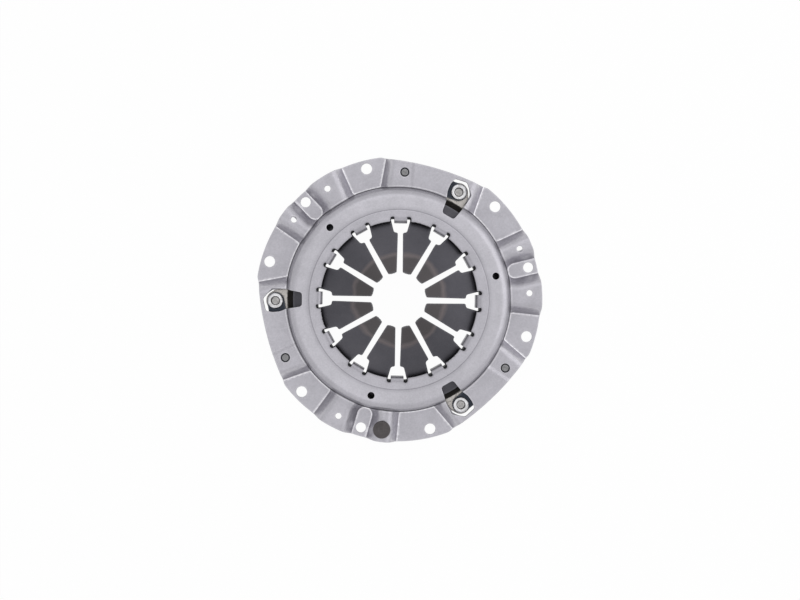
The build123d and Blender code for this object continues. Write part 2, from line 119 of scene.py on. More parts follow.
class Measured(Enum):
    """The circles of the cover that a place is measured outwards from."""

    BORE = "bore"
    FLAT_EDGE = "flat_edge"
    WALL_TOP = "wall_top"
    WALL_FOOT = "wall_foot"
    RIM = "radius"


class Slot(Enum):
    """The record's material slots."""

    PRESSED_COVER = "pressed_cover"
    SPRING_STEEL = "spring_steel"
    CAST_PLATE = "cast_plate"
    STRAP_STEEL = "strap_steel"
    RIVET_STEEL = "rivet_steel"
    COVER_RIVET_STEEL = "cover_rivet_steel"
    WEIGHT_STEEL = "weight_steel"


# ---------------------------------------------------------------- plane outlines
def at_polar(radius: float | Array, angle: float | Array) -> Array:
    """Points of the plan at radii and angles in degrees, one point a row."""
    turn = np.radians(angle)
    return np.stack(np.broadcast_arrays(radius * np.cos(turn), radius * np.sin(turn)), axis=-1)


def circle(centre: Array, radius: float, count: int) -> Array:
    """A closed loop of points round a centre."""
    return centre + at_polar(radius, np.arange(count) * 360 / count)


def rounded_loop(corners: Sequence[Point], radii: Sequence[float], steps: int = 8) -> Array:
    """Closes a loop through corners, each rounded to its radius.

    Args:
        corners: the loop's corners in order.
        radii: one radius for each corner, 0 for a sharp one.
        steps: points on each rounded corner.

    Returns:
        The loop's points, one a row.
    """
    points = []
    count = len(corners)
    for index, (corner, radius) in enumerate(zip(corners, radii)):
        here = np.array(corner, float)
        if radius == 0:
            points.append(here)
            continue
        back = np.array(corners[index - 1], float) - here
        ahead = np.array(corners[(index + 1) % count], float) - here
        back /= np.linalg.norm(back)
        ahead /= np.linalg.norm(ahead)
        half = np.arccos(np.clip(back @ ahead, -1, 1)) / 2
        middle = (back + ahead) / np.linalg.norm(back + ahead)
        centre = here + middle * radius / sin(half)
        start = here + back * radius / tan(half) - centre
        end = here + ahead * radius / tan(half) - centre
        for share in np.linspace(0, 1, steps):
            spoke = start * (1 - share) + end * share
            points.append(centre + spoke * radius / np.linalg.norm(spoke))
    return np.array(points)


def spaced(points: Array, step: float, closed: bool) -> Array:
    """Points at even steps along a line, with its ends kept.

    Args:
        points: the line's points, one a row.
        step: distance between new points, met as nearly as whole steps allow.
        closed: whether the line is a loop.

    Returns:
        The new points; a loop's first point isn't repeated.
    """
    line = np.vstack([points, points[:1]]) if closed else points
    lengths = np.concatenate([[0], np.cumsum(np.linalg.norm(np.diff(line, axis=0), axis=1))])
    count = max(int(ceil(lengths[-1] / step)), 1)
    stations = np.linspace(0, lengths[-1], count + 1)
    if closed:
        stations = stations[:-1]
    return np.stack([np.interp(stations, lengths, line[:, axis]) for axis in (0, 1)], axis=-1)


def distance_to(points: Array, line: Array, closed: bool) -> Array:
    """Distance of each point from a line or loop."""
    starts = line if closed else line[:-1]
    ends = np.roll(line, -1, axis=0) if closed else line[1:]
    along = ends - starts
    nearest = np.full(len(points), np.inf)
    for start, run in zip(starts, along):
        offset = points - start
        share = np.clip(offset @ run / max(run @ run, NO_LENGTH), 0, 1)
        nearest = np.minimum(nearest, np.hypot(*(offset - share[:, None] * run).T))
    return nearest


def inside(points: Array, loop: Array) -> Array:
    """Whether each point lies inside a loop."""
    result = np.zeros(len(points), bool)
    for (x0, y0), (x1, y1) in zip(loop, np.roll(loop, -1, axis=0)):
        if y0 == y1:
            continue
        crosses = (y0 > points[:, 1]) != (y1 > points[:, 1])
        result ^= crosses & (points[:, 0] < (x1 - x0) * (points[:, 1] - y0) / (y1 - y0) + x0)
    return result


def smoothstep(values: Array) -> Array:
    """Eases values from 0 to 1."""
    clipped = np.clip(values, 0, 1)
    return clipped * clipped * (3 - 2 * clipped)


def ridge_of(distances: Array, width: float) -> Array:
    """1 on a line, falling off smoothly within about its width."""
    return np.exp(-((distances / width) ** 2))


def band_of(values: Array, rise: Point, fall: Point) -> Array:
    """1 within a band, eased in at its start and out at its end.

    Args:
        values: where each point lies across the band.
        rise: where the band starts, and over what width it rises from there.
        fall: where the band ends, and over what width it falls up to there.

    Returns:
        A number between 0 and 1 for each point.
    """
    return smoothstep((values - rise[0]) / rise[1]) * smoothstep((fall[0] - values) / fall[1])


@dataclass
class Skin:
    """Triangles in the plan that fill an outline, kept clear of its holes."""

    outline: Array
    holes: list[Array]
    lines: list[Array] = field(default_factory=list)

    def fill(self, lattice: Array, clearance: float) -> tuple[Array, Array]:
        """Triangulates the outline.

        Args:
            lattice: points to use inside it.
            clearance: how near such a point may lie to an edge, a hole or a line.

        Returns:
            The points used and the triangles, as rows of indices.
        """
        keep = inside(lattice, self.outline)
        keep &= distance_to(lattice, self.outline, True) > clearance
        for hole in self.holes:
            keep &= ~inside(lattice, hole) & (distance_to(lattice, hole, True) > clearance)
        for line in self.lines:
            keep &= distance_to(lattice, line, False) > clearance
        points, edges = [], []
        for path, closed in [(self.outline, True), *((h, True) for h in self.holes),
                             *((line, False) for line in self.lines)]:
            first = len(points)
            points.extend(map(Vector, path))
            edges.extend((first + i, first + i + 1) for i in range(len(path) - 1))
            if closed:
                edges.append((first + len(path) - 1, first))
        points.extend(map(Vector, lattice[keep]))
        found = delaunay_2d_cdt(points, edges, [], 0, FILL_TOLERANCE)
        corners = np.array([tuple(p) for p in found[0]])
        triangles = np.array(found[2])
        middles = corners[triangles].mean(axis=1)
        wanted = inside(middles, self.outline)
        for hole in self.holes:
            wanted &= ~inside(middles, hole)
        return corners, triangles[wanted]


# ---------------------------------------------------------------- meshes
def new_object(name: str, data: bpy.types.ID) -> bpy.types.Object:
    """An object of its data, linked into the scene."""
    made = bpy.data.objects.new(name, data)
    bpy.context.scene.collection.objects.link(made)
    return made


@dataclass
class Surface:
    """Faces under construction, in millimetres, with each point's bright edge burnish, painted highlight and
    painted shade.
    """

    points: list[Array] = field(default_factory=list)
    faces: list[list[int]] = field(default_factory=list)
    wear_and_sheen: list[Array] = field(default_factory=list)
    shade: list[Array] = field(default_factory=list)
    count: int = 0

    def add(self, points: Array, faces: Sequence[Sequence[int]], wear_and_sheen: Array | float = 0.0,
            shade: Array | float = 0.0) -> None:
        """Adds points and the faces between them."""
        self.points.append(points)
        self.wear_and_sheen.append(np.broadcast_to(wear_and_sheen, len(points)).astype(float))
        self.shade.append(np.broadcast_to(shade, len(points)).astype(float))
        self.faces.extend([self.count + int(i) for i in face] for face in faces)
        self.count += len(points)

    def grid(self, rows: Array, wear_and_sheen: Array | float = 0.0, wrap: bool = False,
             shade: Array | float = 0.0) -> None:
        """Adds rows of points as a grid of quads.

        Args:
            rows: points by row, column and axis.
            wear_and_sheen: the bright edge burnish and painted highlight at each point, by row and column.
            wrap: whether each row closes on itself.
            shade: the painted shade at each point, by row and column.
        """
        count, width = rows.shape[:2]
        faces = []
        for row in range(count - 1):
            for column in range(width if wrap else width - 1):
                beside = (column + 1) % width
                faces.append((row * width + column, row * width + beside,
                              (row + 1) * width + beside, (row + 1) * width + column))
        flat_wear, flat_shade = (np.broadcast_to(value, (count, width)).ravel() for value in (wear_and_sheen, shade))
        self.add(rows.reshape(-1, 3), faces, flat_wear, flat_shade)

    def build(self, name: str) -> bpy.types.Object:
        """The surface as a smooth-shaded mesh object in metres."""
        mesh = bpy.data.meshes.new(name)
        mesh.from_pydata((np.vstack(self.points) * MM).tolist(), [], self.faces)
        for label, values in (("wear_and_sheen", self.wear_and_sheen), ("shade", self.shade)):
            layer = mesh.attributes.new(label, "FLOAT", "POINT")
            layer.data.foreach_set("value", np.concatenate(values).astype(np.float32))
        mesh.shade_smooth()
        return new_object(name, mesh)


def turned(section: Array, wear_and_sheen: Array | float, segments: int) -> Surface:
    """Turns a section about the Z axis.

    Args:
        section: radius and height of each point, from the axis round to the axis.
        wear_and_sheen: the bright edge burnish at each point of the section.
        segments: faces round the axis.

    Returns:
        The closed surface, faces outwards for a section that runs from bottom to top.
    """
    angles = np.arange(segments) * 360 / segments
    plan = at_polar(section[:, :1], angles[None, :])
    heights = np.broadcast_to(section[:, 1][:, None, None], (*plan.shape[:2], 1))
    made = Surface()
    made.grid(np.concatenate([plan, heights], axis=2),
              np.broadcast_to(np.asarray(wear_and_sheen, float).reshape(-1, 1), plan.shape[:2]), wrap=True)
    return made


def places_of(mesh: bpy.types.Mesh) -> Array:
    """A mesh's points, in millimetres."""
    places = np.empty(len(mesh.vertices) * 3)
    mesh.vertices.foreach_get("co", places)
    return places.reshape(-1, 3) / MM


def set_places(mesh: bpy.types.Mesh, places: Array) -> None:
    """Moves a mesh's points to places in millimetres."""
    mesh.vertices.foreach_set("co", (places * MM).ravel())
    mesh.update()


class PolarCopies:
    """Geometry Nodes tree that repeats a mesh round the Z axis and welds the copies."""

    def __init__(self) -> None:
        """Builds the tree with its named inputs."""
        self.tree = bpy.data.node_groups.new("polar_copies", "GeometryNodeTree")
        face = self.tree.interface
        kinds = {"Geometry": "Geometry", "Copies": "Int", "Weld Distance": "Float", "Finish": "Material"}
        self.sockets = {
            name: face.new_socket(name, in_out="INPUT", socket_type=f"NodeSocket{kind}").identifier
            for name, kind in kinds.items()
        }
        face.new_socket("Geometry", in_out="OUTPUT", socket_type="NodeSocketGeometry")
        sketch = NodeSketch(self.tree)
        given = sketch.add("NodeGroupInput")
        points = sketch.add("GeometryNodePoints", {"Count": given.outputs["Copies"]})
        index = sketch.add("GeometryNodeInputIndex")
        step = sketch.math("DIVIDE", 2 * pi, given.outputs["Copies"])
        turn = sketch.math("MULTIPLY", index.outputs["Index"], step)
        spin = sketch.add("ShaderNodeCombineXYZ", {"Z": turn})
        rotation = sketch.add("FunctionNodeEulerToRotation", {"Euler": spin.outputs["Vector"]})
        copies = sketch.add("GeometryNodeInstanceOnPoints", {
            "Points": points.outputs[0],
            "Instance": given.outputs["Geometry"],
            "Rotation": rotation.outputs["Rotation"],
        })
        real = sketch.add("GeometryNodeRealizeInstances", {"Geometry": copies.outputs["Instances"]})
        welded = sketch.add("GeometryNodeMergeByDistance", {
            "Geometry": real.outputs["Geometry"],
            "Distance": given.outputs["Weld Distance"],
        })
        dressed = sketch.add("GeometryNodeSetMaterial", {
            "Geometry": welded.outputs["Geometry"],
            "Material": given.outputs["Finish"],
        })
        sketch.add("NodeGroupOutput", {"Geometry": dressed.outputs["Geometry"]})

    def apply(self, shape: bpy.types.Object, copies: int, finish: bpy.types.Material,
              weld: float = 0.02) -> bpy.types.Object:
        """Repeats a shape and returns the result as a plain mesh.

        Args:
            shape: the object to repeat; it is removed.
            copies: how many stand round the axis.
            finish: the material of the result.
            weld: distance in millimetres under which points become one.

        Returns:
            A new object of the shape's name with one mesh and no modifier.
        """
        modifier = shape.modifiers.new("copies", "NODES")
        modifier.node_group = self.tree
        modifier[self.sockets["Copies"]] = copies
        modifier[self.sockets["Weld Distance"]] = weld * MM
        modifier[self.sockets["Finish"]] = finish
        return frozen(shape)


def frozen(shape: bpy.types.Object) -> bpy.types.Object:
    """Turns a shape and its modifiers into one plain mesh, under the same name."""
    graph = bpy.context.evaluated_depsgraph_get()
    mesh = bpy.data.meshes.new_from_object(shape.evaluated_get(graph), depsgraph=graph)
    name = shape.name
    bpy.data.objects.remove(shape)
    return new_object(name, mesh)


def thicken(shape: bpy.types.Object, thickness: float, offset: float) -> None:
    """Gives a sheet its thickness.

    Args:
        shape: the sheet's object.
        thickness: in millimetres.
        offset: -1 grows it against its normals, 0 to both sides.
    """
    wall = shape.modifiers.new("sheet", "SOLIDIFY")
    wall.thickness = thickness * MM
    wall.offset = offset
    wall.use_quality_normals = True


def ease(shape: bpy.types.Object, width: float, angle: float = 50.0) -> None:
    """Rounds a shape's sharp edges a little and keeps its flat faces flat."""
    bevel = shape.modifiers.new("eased_edges", "BEVEL")
    bevel.width = width * MM
    bevel.segments = 2
    bevel.limit_method = "ANGLE"
    bevel.angle_limit = radians(angle)
    bevel.use_clamp_overlap = False
    shape.modifiers.new("even_shading", "WEIGHTED_NORMAL")


# ---------------------------------------------------------------- node sketching
@dataclass
class NodeSketch:
    """Adds and wires nodes in one tree."""

    tree: bpy.types.NodeTree

    @classmethod
    def on(cls, holder: bpy.types.Material | bpy.types.World) -> "NodeSketch":
        """A sketch of a material's or world's own tree, emptied."""
        holder.use_nodes = True
        holder.node_tree.nodes.clear()
        return cls(holder.node_tree)

    def add(self, kind: str, wires: dict[str | int, Any] | None = None,
            **settings: Any) -> bpy.types.Node:
        """Adds one node.

        Args:
            kind: the node's type name.
            wires: for inputs by name or number, the socket that feeds it or its plain value.
            **settings: the node's own options.

        Returns:
            The new node.
        """
        node = self.tree.nodes.new(kind)
        for name, value in settings.items():
            setattr(node, name, value)
        for key, value in (wires or {}).items():
            if isinstance(value, bpy.types.NodeSocket):
                self.tree.links.new(value, node.inputs[key])
            else:
                node.inputs[key].default_value = value
        return node

    def math(self, operation: str, first: Any, second: Any = 0.0,
             clamp: bool = False) -> bpy.types.NodeSocket:
        """Result of one sum on two numbers or sockets."""
        node = self.add("ShaderNodeMath", {0: first, 1: second}, operation=operation, use_clamp=clamp)
        return node.outputs[0]

    def fit(self, value: Any, low: float, high: float, to_low: float = 0.0,
            to_high: float = 1.0) -> bpy.types.NodeSocket:
        """Value moved from one range to another, kept within it."""
        node = self.add("ShaderNodeMapRange", {
            "Value": value, "From Min": low, "From Max": high, "To Min": to_low, "To Max": to_high,
        })
        return node.outputs["Result"]

    def blend(self, share: Any, first: Any, second: Any, way: str = "MIX") -> bpy.types.NodeSocket:
        """Two colours mixed by a share."""
        node = self.add("ShaderNodeMix", {0: share, MIX_FIRST: first, MIX_SECOND: second},
                        data_type="RGBA", blend_type=way)
        return node.outputs[MIX_RESULT]

    def noise(self, place: Any, scale: Any, detail: float = 3.0,
              roughness: float = 0.5) -> bpy.types.NodeSocket:
        """A noise value between 0 and 1."""
        node = self.add("ShaderNodeTexNoise", {
            "Vector": place, "Scale": scale, "Detail": detail, "Roughness": roughness,
        })
        return node.outputs[0]

    def stretched(self, place: Any, factors: tuple[float, float, float],
                  turn: float = 0.0) -> bpy.types.NodeSocket:
        """Coordinates turned about Z in degrees and scaled on each axis."""
        node = self.add("ShaderNodeMapping", {
            "Vector": place, "Rotation": (0, 0, radians(turn)), "Scale": factors,
        })
        return node.outputs["Vector"]

    def from_axis(self, place: bpy.types.NodeSocket) -> bpy.types.NodeSocket:
        """Distance from the Z axis."""
        split = self.add("ShaderNodeSeparateXYZ", {"Vector": place})
        flat = self.add("ShaderNodeCombineXYZ", {"X": split.outputs["X"], "Y": split.outputs["Y"]})
        radius = self.add("ShaderNodeVectorMath", {0: flat.outputs["Vector"]}, operation="LENGTH")
        return radius.outputs["Value"]


@dataclass
class FinishGroups:
    """Shader node groups that several finishes share."""

    fine_share: float = 0.6
    middle_scale: float = 0.12
    spot_scale: float = 0.3
    scratch_turns: tuple[float, ...] = (17.0, 74.0, 139.0)
    scratch_stretch: tuple[float, float, float] = (60.0, 1900.0, 300.0)
    scratch_cut: Point = (0.80, 0.66)
    patch_scale: float = 70.0
    patch_span: Point = (0.5, 0.62)
    wear_scale: float = 420.0
    wear_span: Point = (0.32, 0.62)
    wear_least: float = 0.35

    def __post_init__(self) -> None:
        """Builds each group once."""
        self.grain = self._grain()
        self.scratches = self._scratches()
        self.wear_and_sheen = self._wear()

    @staticmethod
    def _new(name: str, inputs: dict[str, float | None],
             outputs: Sequence[str]) -> tuple[NodeSketch, bpy.types.Node]:
        """Starts a group.

        Args:
            name: the group's name.
            inputs: default of each number input, None for a vector.
            outputs: names of its number outputs.

        Returns:
            A sketch of the group and its input node.
        """
        tree = bpy.data.node_groups.new(name, "ShaderNodeTree")
        for label, default in inputs.items():
            kind = "NodeSocketVector" if default is None else "NodeSocketFloat"
            socket = tree.interface.new_socket(label, in_out="INPUT", socket_type=kind)
            if default is not None:
                socket.default_value = default
        for label in outputs:
            tree.interface.new_socket(label, in_out="OUTPUT", socket_type="NodeSocketFloat")
        sketch = NodeSketch(tree)
        return sketch, sketch.add("NodeGroupInput")

    def _grain(self) -> bpy.types.NodeTree:
        """Fine grain, soft clouds and faint dents of rolled or cast metal."""
        sketch, given = self._new("metal_grain", {"Place": None, "Grain": 2600.0, "Cloud": 45.0},
                                  ("Fine", "Clouds", "Mottle", "Height"))
        place = given.outputs["Place"]
        scale = given.outputs["Grain"]
        fine = sketch.noise(place, scale, detail=2.0, roughness=0.65)
        clouds = sketch.noise(place, given.outputs["Cloud"], detail=4.0, roughness=0.6)
        middle = sketch.noise(place, sketch.math("MULTIPLY", scale, self.middle_scale))
        height = sketch.math("ADD", sketch.math("MULTIPLY", fine, self.fine_share),
                             sketch.math("MULTIPLY", middle, 1 - self.fine_share))
        spots = sketch.noise(place, sketch.math("MULTIPLY", scale, self.spot_scale), detail=4.0,
                             roughness=0.75)
        sketch.add("NodeGroupOutput", {
            "Fine": fine,
            "Clouds": sketch.fit(clouds, *NOISE_SPAN),
            "Mottle": sketch.fit(spots, *NOISE_SPAN, -1.0, 1.0),
            "Height": height,
        })
        return sketch.tree

    def _scratches(self) -> bpy.types.NodeTree:
        """Sparse hairline scratches in three directions."""
        sketch, given = self._new("hairline_scratches", {"Place": None, "Density": 0.5}, ("Mask",))
        place = given.outputs["Place"]
        edge = sketch.fit(given.outputs["Density"], 0.0, 1.0, *self.scratch_cut)
        total = None
        for turn in self.scratch_turns:
            lines = sketch.noise(sketch.stretched(place, self.scratch_stretch, turn), 1.0, detail=1.0)
            lone = sketch.math("GREATER_THAN", lines, edge)
            patches = sketch.noise(sketch.stretched(place, (self.patch_scale,) * 3, turn), 1.0, detail=1.0)
            found = sketch.math("MULTIPLY", lone, sketch.fit(patches, *self.patch_span))
            total = found if total is None else sketch.math("MAXIMUM", total, found)
        sketch.add("NodeGroupOutput", {"Mask": total})
        return sketch.tree

    def _wear(self) -> bpy.types.NodeTree:
        """Edges burnished bright by handling and the die, and painted highlights and sheen, broken up by
        noise.
        """
        sketch, given = self._new("edge_wear_and_sheen", {"Place": None, "Edge": 0.0, "Amount": 1.0}, ("Mask",))
        noise = sketch.noise(given.outputs["Place"], self.wear_scale, roughness=0.6)
        broken = sketch.fit(noise, *self.wear_span, self.wear_least, 1.0)
        worn_and_sheen = sketch.math("MULTIPLY", given.outputs["Edge"], broken)
        amount = sketch.math("MULTIPLY", worn_and_sheen, given.outputs["Amount"], clamp=True)
        sketch.add("NodeGroupOutput", {"Mask": amount})
        return sketch.tree

    @staticmethod
    def place(sketch: NodeSketch, group: bpy.types.NodeTree, wires: dict[str, Any]) -> bpy.types.Node:
        """Puts a group into a material."""
        return sketch.add("ShaderNodeGroup", wires, node_tree=group)


# ---------------------------------------------------------------- finishes
Colour = tuple[float, float, float]


def rgba(colour: Colour) -> tuple[float, float, float, float]:
    """A colour with full cover."""
    return (*colour, 1.0)


@dataclass(frozen=True)
class MetalFinish:
    """A metal surface with grain, clouds, burnished edges, painted highlights, painted shade and hairline
    scratches.

    Its grain and cloud are noise scales on metres, and its bump_depth is metres.
    """

    name: str
    tone: Colour
    cloud_tone: Colour
    edge_tone: Colour
    roughness: float
    # Colour that painted shade darkens towards, and how unevenly the noise lays it.
    shade_tone: Colour = (0.05, 0.048, 0.058)
    shade_spread: float = 0.14
    mottle: float = 0.05
    roughness_spread: float = 0.12
    worn_polish: float = 0.08
    metallic: float = 1.0
    grain: float = 2600.0
    cloud: float = 45.0
    bump: float = 0.12
    bump_depth: float = 0.00004
    edge_amount: float = 0.6
    scratch_density: float = 0.4
    scratch_strength: float = 0.25

    def tint(self, sketch: NodeSketch, place: bpy.types.NodeSocket,
             colour: bpy.types.NodeSocket) -> bpy.types.NodeSocket:
        """Lets a kind of finish add its own colouring; a plain one adds none."""
        return colour

    def marks(self, sketch: NodeSketch, place: bpy.types.NodeSocket,
              height: bpy.types.NodeSocket) -> bpy.types.NodeSocket:
        """Lets a kind of finish add tool marks to its height; a plain one adds none."""
        return height

    def build(self, groups: FinishGroups) -> bpy.types.Material:
        """Makes the material.

        Args:
            groups: the shared node groups.

        Returns:
            The finished material.
        """
        material = bpy.data.materials.new(self.name)
        sketch = NodeSketch.on(material)
        place = sketch.add("ShaderNodeTexCoord").outputs["Object"]
        # This attribute holds bright edge burnish, and on the cover also painted highlights and sheen.
        edge = sketch.add("ShaderNodeAttribute", attribute_name="wear_and_sheen").outputs["Fac"]
        grain = groups.place(sketch, groups.grain, {"Place": place, "Grain": self.grain, "Cloud": self.cloud})
        worn_and_sheen = groups.place(sketch, groups.wear_and_sheen, {"Place": place, "Edge": edge, "Amount": self.edge_amount})
        lines = groups.place(sketch, groups.scratches, {"Place": place, "Density": self.scratch_density})
        colour = sketch.blend(grain.outputs["Clouds"], rgba(self.tone), rgba(self.cloud_tone))
        brighter = sketch.math("ADD", sketch.math("MULTIPLY", grain.outputs["Mottle"], self.mottle), 1.0)
        brightened = sketch.add("ShaderNodeVectorMath", {0: colour, "Scale": brighter}, operation="SCALE")
        colour = self.tint(sketch, place, brightened.outputs[0])
        # Painted shade: the shade attribute darkens the colour towards shade_tone.
        shade = sketch.add("ShaderNodeAttribute", attribute_name="shade").outputs["Fac"]
        mottled = sketch.fit(grain.outputs["Fine"], *NOISE_SPAN, 1 - self.shade_spread, 1 + self.shade_spread)
        shade_share = sketch.math("MULTIPLY", shade, mottled, clamp=True)
        colour = sketch.blend(shade_share, colour, rgba(self.shade_tone))
        # Burnished edges and painted highlights lighten the colour towards edge_tone.
        colour = sketch.blend(worn_and_sheen.outputs["Mask"], colour, rgba(self.edge_tone))
        line_share = sketch.math("MULTIPLY", lines.outputs["Mask"], self.scratch_strength)
        colour = sketch.blend(line_share, colour, rgba(self.edge_tone))
        rough = sketch.fit(grain.outputs["Fine"], *NOISE_SPAN, self.roughness - self.roughness_spread,
                           self.roughness + self.roughness_spread)
        polish = sketch.math("MULTIPLY", worn_and_sheen.outputs["Mask"], self.worn_polish)
        rough = sketch.math("SUBTRACT", rough, polish, clamp=True)
        height = self.marks(sketch, place, grain.outputs["Height"])
        bump = sketch.add("ShaderNodeBump", {
            "Height": height, "Strength": self.bump, "Distance": self.bump_depth,
        })
        shader = sketch.add("ShaderNodeBsdfPrincipled", {
            "Base Color": colour,
            "Roughness": rough,
            "Metallic": self.metallic,
            "Normal": bump.outputs["Normal"],
        })
        sketch.add("ShaderNodeOutputMaterial", {"Surface": shader.outputs["BSDF"]})
        return material


@dataclass(frozen=True)
class HeatTintedFinish(MetalFinish):
    """Spring steel, tempered brown in a band near the finger ends."""

    band_radius: float = 36.3
    band_width: float = 2.8
    band_strength: float = 0.8
    drift: float = 1.4
    drift_scale: float = 60.0
    band_tone: Colour = (0.125, 0.108, 0.108)
    tip_tone: Colour = (0.07, 0.065, 0.067)

    def tint(self, sketch: NodeSketch, place: bpy.types.NodeSocket,
             colour: bpy.types.NodeSocket) -> bpy.types.NodeSocket:
        """Brown tips and a lighter band that fades outwards."""
        radius = sketch.from_axis(place)
        drift = sketch.fit(sketch.noise(place, self.drift_scale, detail=2.0), *NOISE_SPAN,
                           -self.drift * MM, self.drift * MM)
        reach = sketch.math("ADD", radius, drift)
        tips = sketch.fit(reach, (self.band_radius - self.band_width) * MM, self.band_radius * MM, 1.0, 0.0)
        colour = sketch.blend(tips, colour, rgba(self.tip_tone))
        away = sketch.math("ABSOLUTE", sketch.math("SUBTRACT", reach, self.band_radius * MM))
        band = sketch.fit(away, 0.0, self.band_width * MM, self.band_strength, 0.0)
        return sketch.blend(band, colour, rgba(self.band_tone))


@dataclass(frozen=True)
class TurnedFinish(MetalFinish):
    """Metal with fine ring marks from turning or grinding on its axis-square faces."""

    ring_pitch: float = 0.7
    ring_depth: float = 0.5

    def marks(self, sketch: NodeSketch, place: bpy.types.NodeSocket,
              height: bpy.types.NodeSocket) -> bpy.types.NodeSocket:
        """Rings about the Z axis, uneven in depth."""
        rings = sketch.add("ShaderNodeTexNoise", {
            "W": sketch.math("DIVIDE", sketch.from_axis(place), self.ring_pitch * MM),
            "Scale": 1.0, "Detail": 3.0,
        }, noise_dimensions="1D")
        return sketch.math("ADD", height, sketch.math("MULTIPLY", rings.outputs[0], self.ring_depth))


# ---------------------------------------------------------------- cover
@dataclass
class CoverPressing:
    """The pressed cover: one sheet with low pads, windows and bent tabs."""

    radius: float
    height: float
    sheet: float = 3.2
    flange_lift: float = 11.5
    flange_width: float = 24.4
    # The dome: a flat ring round the bore, a gentle slope, a round shoulder and a steep wall.
    crown_width: float = 29.7
    crown_slope_width: float = 21.1
    crown_slope: float = 4.0
    crease_depth: float = 0.22
    crease_width: float = 0.35
    shoulder_radius: float = 7.0
    wall_draft: float = 8.7
    fold_radius: float = 1.8
    pad_fold_radius: float = 1.1
    # The low pads and the dowel's tongue, and the slopes round them.
    pad_inner_angles: tuple[Point, ...] = ((16.7, 34.6), (-34.6, -20.4))
    pad_outer_angles: tuple[Point, ...] = ((15.3, 40.3), (-39.7, -20.3))
    pad_corner_radius: float = 2.6
    pad_hold: float = 0.6
    tongue_half_width: float = 6.2
    slope_lean: float = 30.0
    foot_radius: float = 0.8
    crest_radius: float = 7.0
    valley_width: float = 2.0
    valley_depth: float = 0.5
    # The strap's seat, whose step runs from an angle inside the wall's foot to one past the rim.
    seat_drop: float = 1.1
    seat_angles: Point = (69.2, 70.6)
    seat_overreach: Point = (7.0, 6.0)
    seat_run: float = 1.6
    seat_beyond: float = 5.0
    # The rim's waist over each strap.
    waist_angles: Point = (41.6, 78.4)
    waist_shoulders: Point = (37.4, 83.2)
    waist_end_inset: float = 3.3
    waist_mid_inset: float = 6.3
    # The lug window: each corner's circle, how far outside it the corner is, its angle and its rounding.
    window_corners: tuple[tuple[Measured, float, float, float], ...] = (
        (Measured.WALL_FOOT, -15.1, 42.0, 2.4), (Measured.WALL_FOOT, 0.0, 41.0, 0.0),
        (Measured.RIM, -14.2, 41.0, 2.5), (Measured.RIM, -7.0, 45.9, 2.5), (Measured.RIM, -8.8, 51.2, 2.0),
        (Measured.RIM, -14.5, 52.0, 6.0), (Measured.WALL_FOOT, 4.0, 52.0, 6.0),
        (Measured.WALL_FOOT, -1.5, 50.9, 0.0), (Measured.WALL_FOOT, -15.1, 50.1, 2.4))
    # The round holes: each one's use, circle, how far outside it, angle, width and drawn sides.
    round_holes: tuple[tuple[str, Measured, float, float, float, int], ...] = (
        ("bolt", Measured.RIM, -7.0, 30.0, 9.0, 40),
        ("bolt", Measured.RIM, -7.0, -30.0, 9.0, 40),
        ("dowel", Measured.RIM, -7.0, 0.0, 8.4, 40),
        ("balance", Measured.RIM, -10.3, 8.9, 5.1, 26),
        ("balance", Measured.RIM, -10.3, -11.0, 5.1, 26),
        ("gauge", Measured.WALL_FOOT, -13.0, 0.0, 5.6, 28),
        ("strap rivet", Measured.RIM, -13.6, -46.5, 7.4, 32))
    # The tabs bent down from the bore, and the notches beside them.
    tab_width: float = 10.2
    tab_overhang: float = 1.7
    tab_bend_radius: float = 3.7
    tab_curl_radius: float = 4.9
    tab_foot: float = 17.5
    tab_foot_radius: float = 68.35
    notch_reach: float = 3.2
    notch_radius: float = 1.75
    notch_bite: float = 0.3
    throat_radius: float = 1.5
    throat_lead: Point = (6.0, 3.5)
    throat_gap: float = 0.1
    # The sheet's cut edges and its back.
    edge_ease: float = 0.3
    cut_angle: float = 80.0
    slope_step: float = 0.05
    # The mesh.  A pitch is a share of its step, and a knot is a circle, a way outside it and a fineness.
    first_angle: float = -58.0
    mesh_step: float = 1.25
    mesh_samples: int = 4000
    mesh_knots: tuple[tuple[Measured, float, float], ...] = (
        (Measured.BORE, -3.0, 1.0), (Measured.FLAT_EDGE, -0.8, 1.0), (Measured.FLAT_EDGE, -0.6, 3.0),
        (Measured.FLAT_EDGE, 1.2, 3.0), (Measured.FLAT_EDGE, 1.4, 1.0), (Measured.WALL_FOOT, -12.4, 1.0),
        (Measured.WALL_TOP, -1.0, 2.3), (Measured.WALL_TOP, 0.0, 5.0), (Measured.WALL_FOOT, 0.9, 5.0),
        (Measured.WALL_FOOT, 1.6, 1.1), (Measured.RIM, 8.0, 1.0))
    angle_step: float = 0.75
    plan_per_degree: float = 1.8
    side_margin: float = 0.5
    rim_pitch: float = 0.8
    hole_pitch: float = 0.7
    row_pitch: float = 0.75
    clear_pitch: float = 0.42
    # Rows of points along the slopes' feet, and their margins from the wall, the rim and other edges.
    row_step: float = 0.2
    row_inside: float = 0.45
    row_middle: float = 0.05
    row_outside: Point = (0.02, 0.6)
    row_margins: tuple[float, float, float] = (1.2, 0.6, 0.7)
    row_shortest: int = 8
    # How finely the outlines are drawn.
    fine_step: float = 0.1
    rim_step: float = 0.05
    rim_wrap: float = 20.0
    rim_smoothing: int = 61
    rim_angle_step: float = 0.25
    bow_points: int = 7
    arc_points: int = 17
    notch_points: int = 12
    bend_points: int = 8
    tab_columns: int = 9

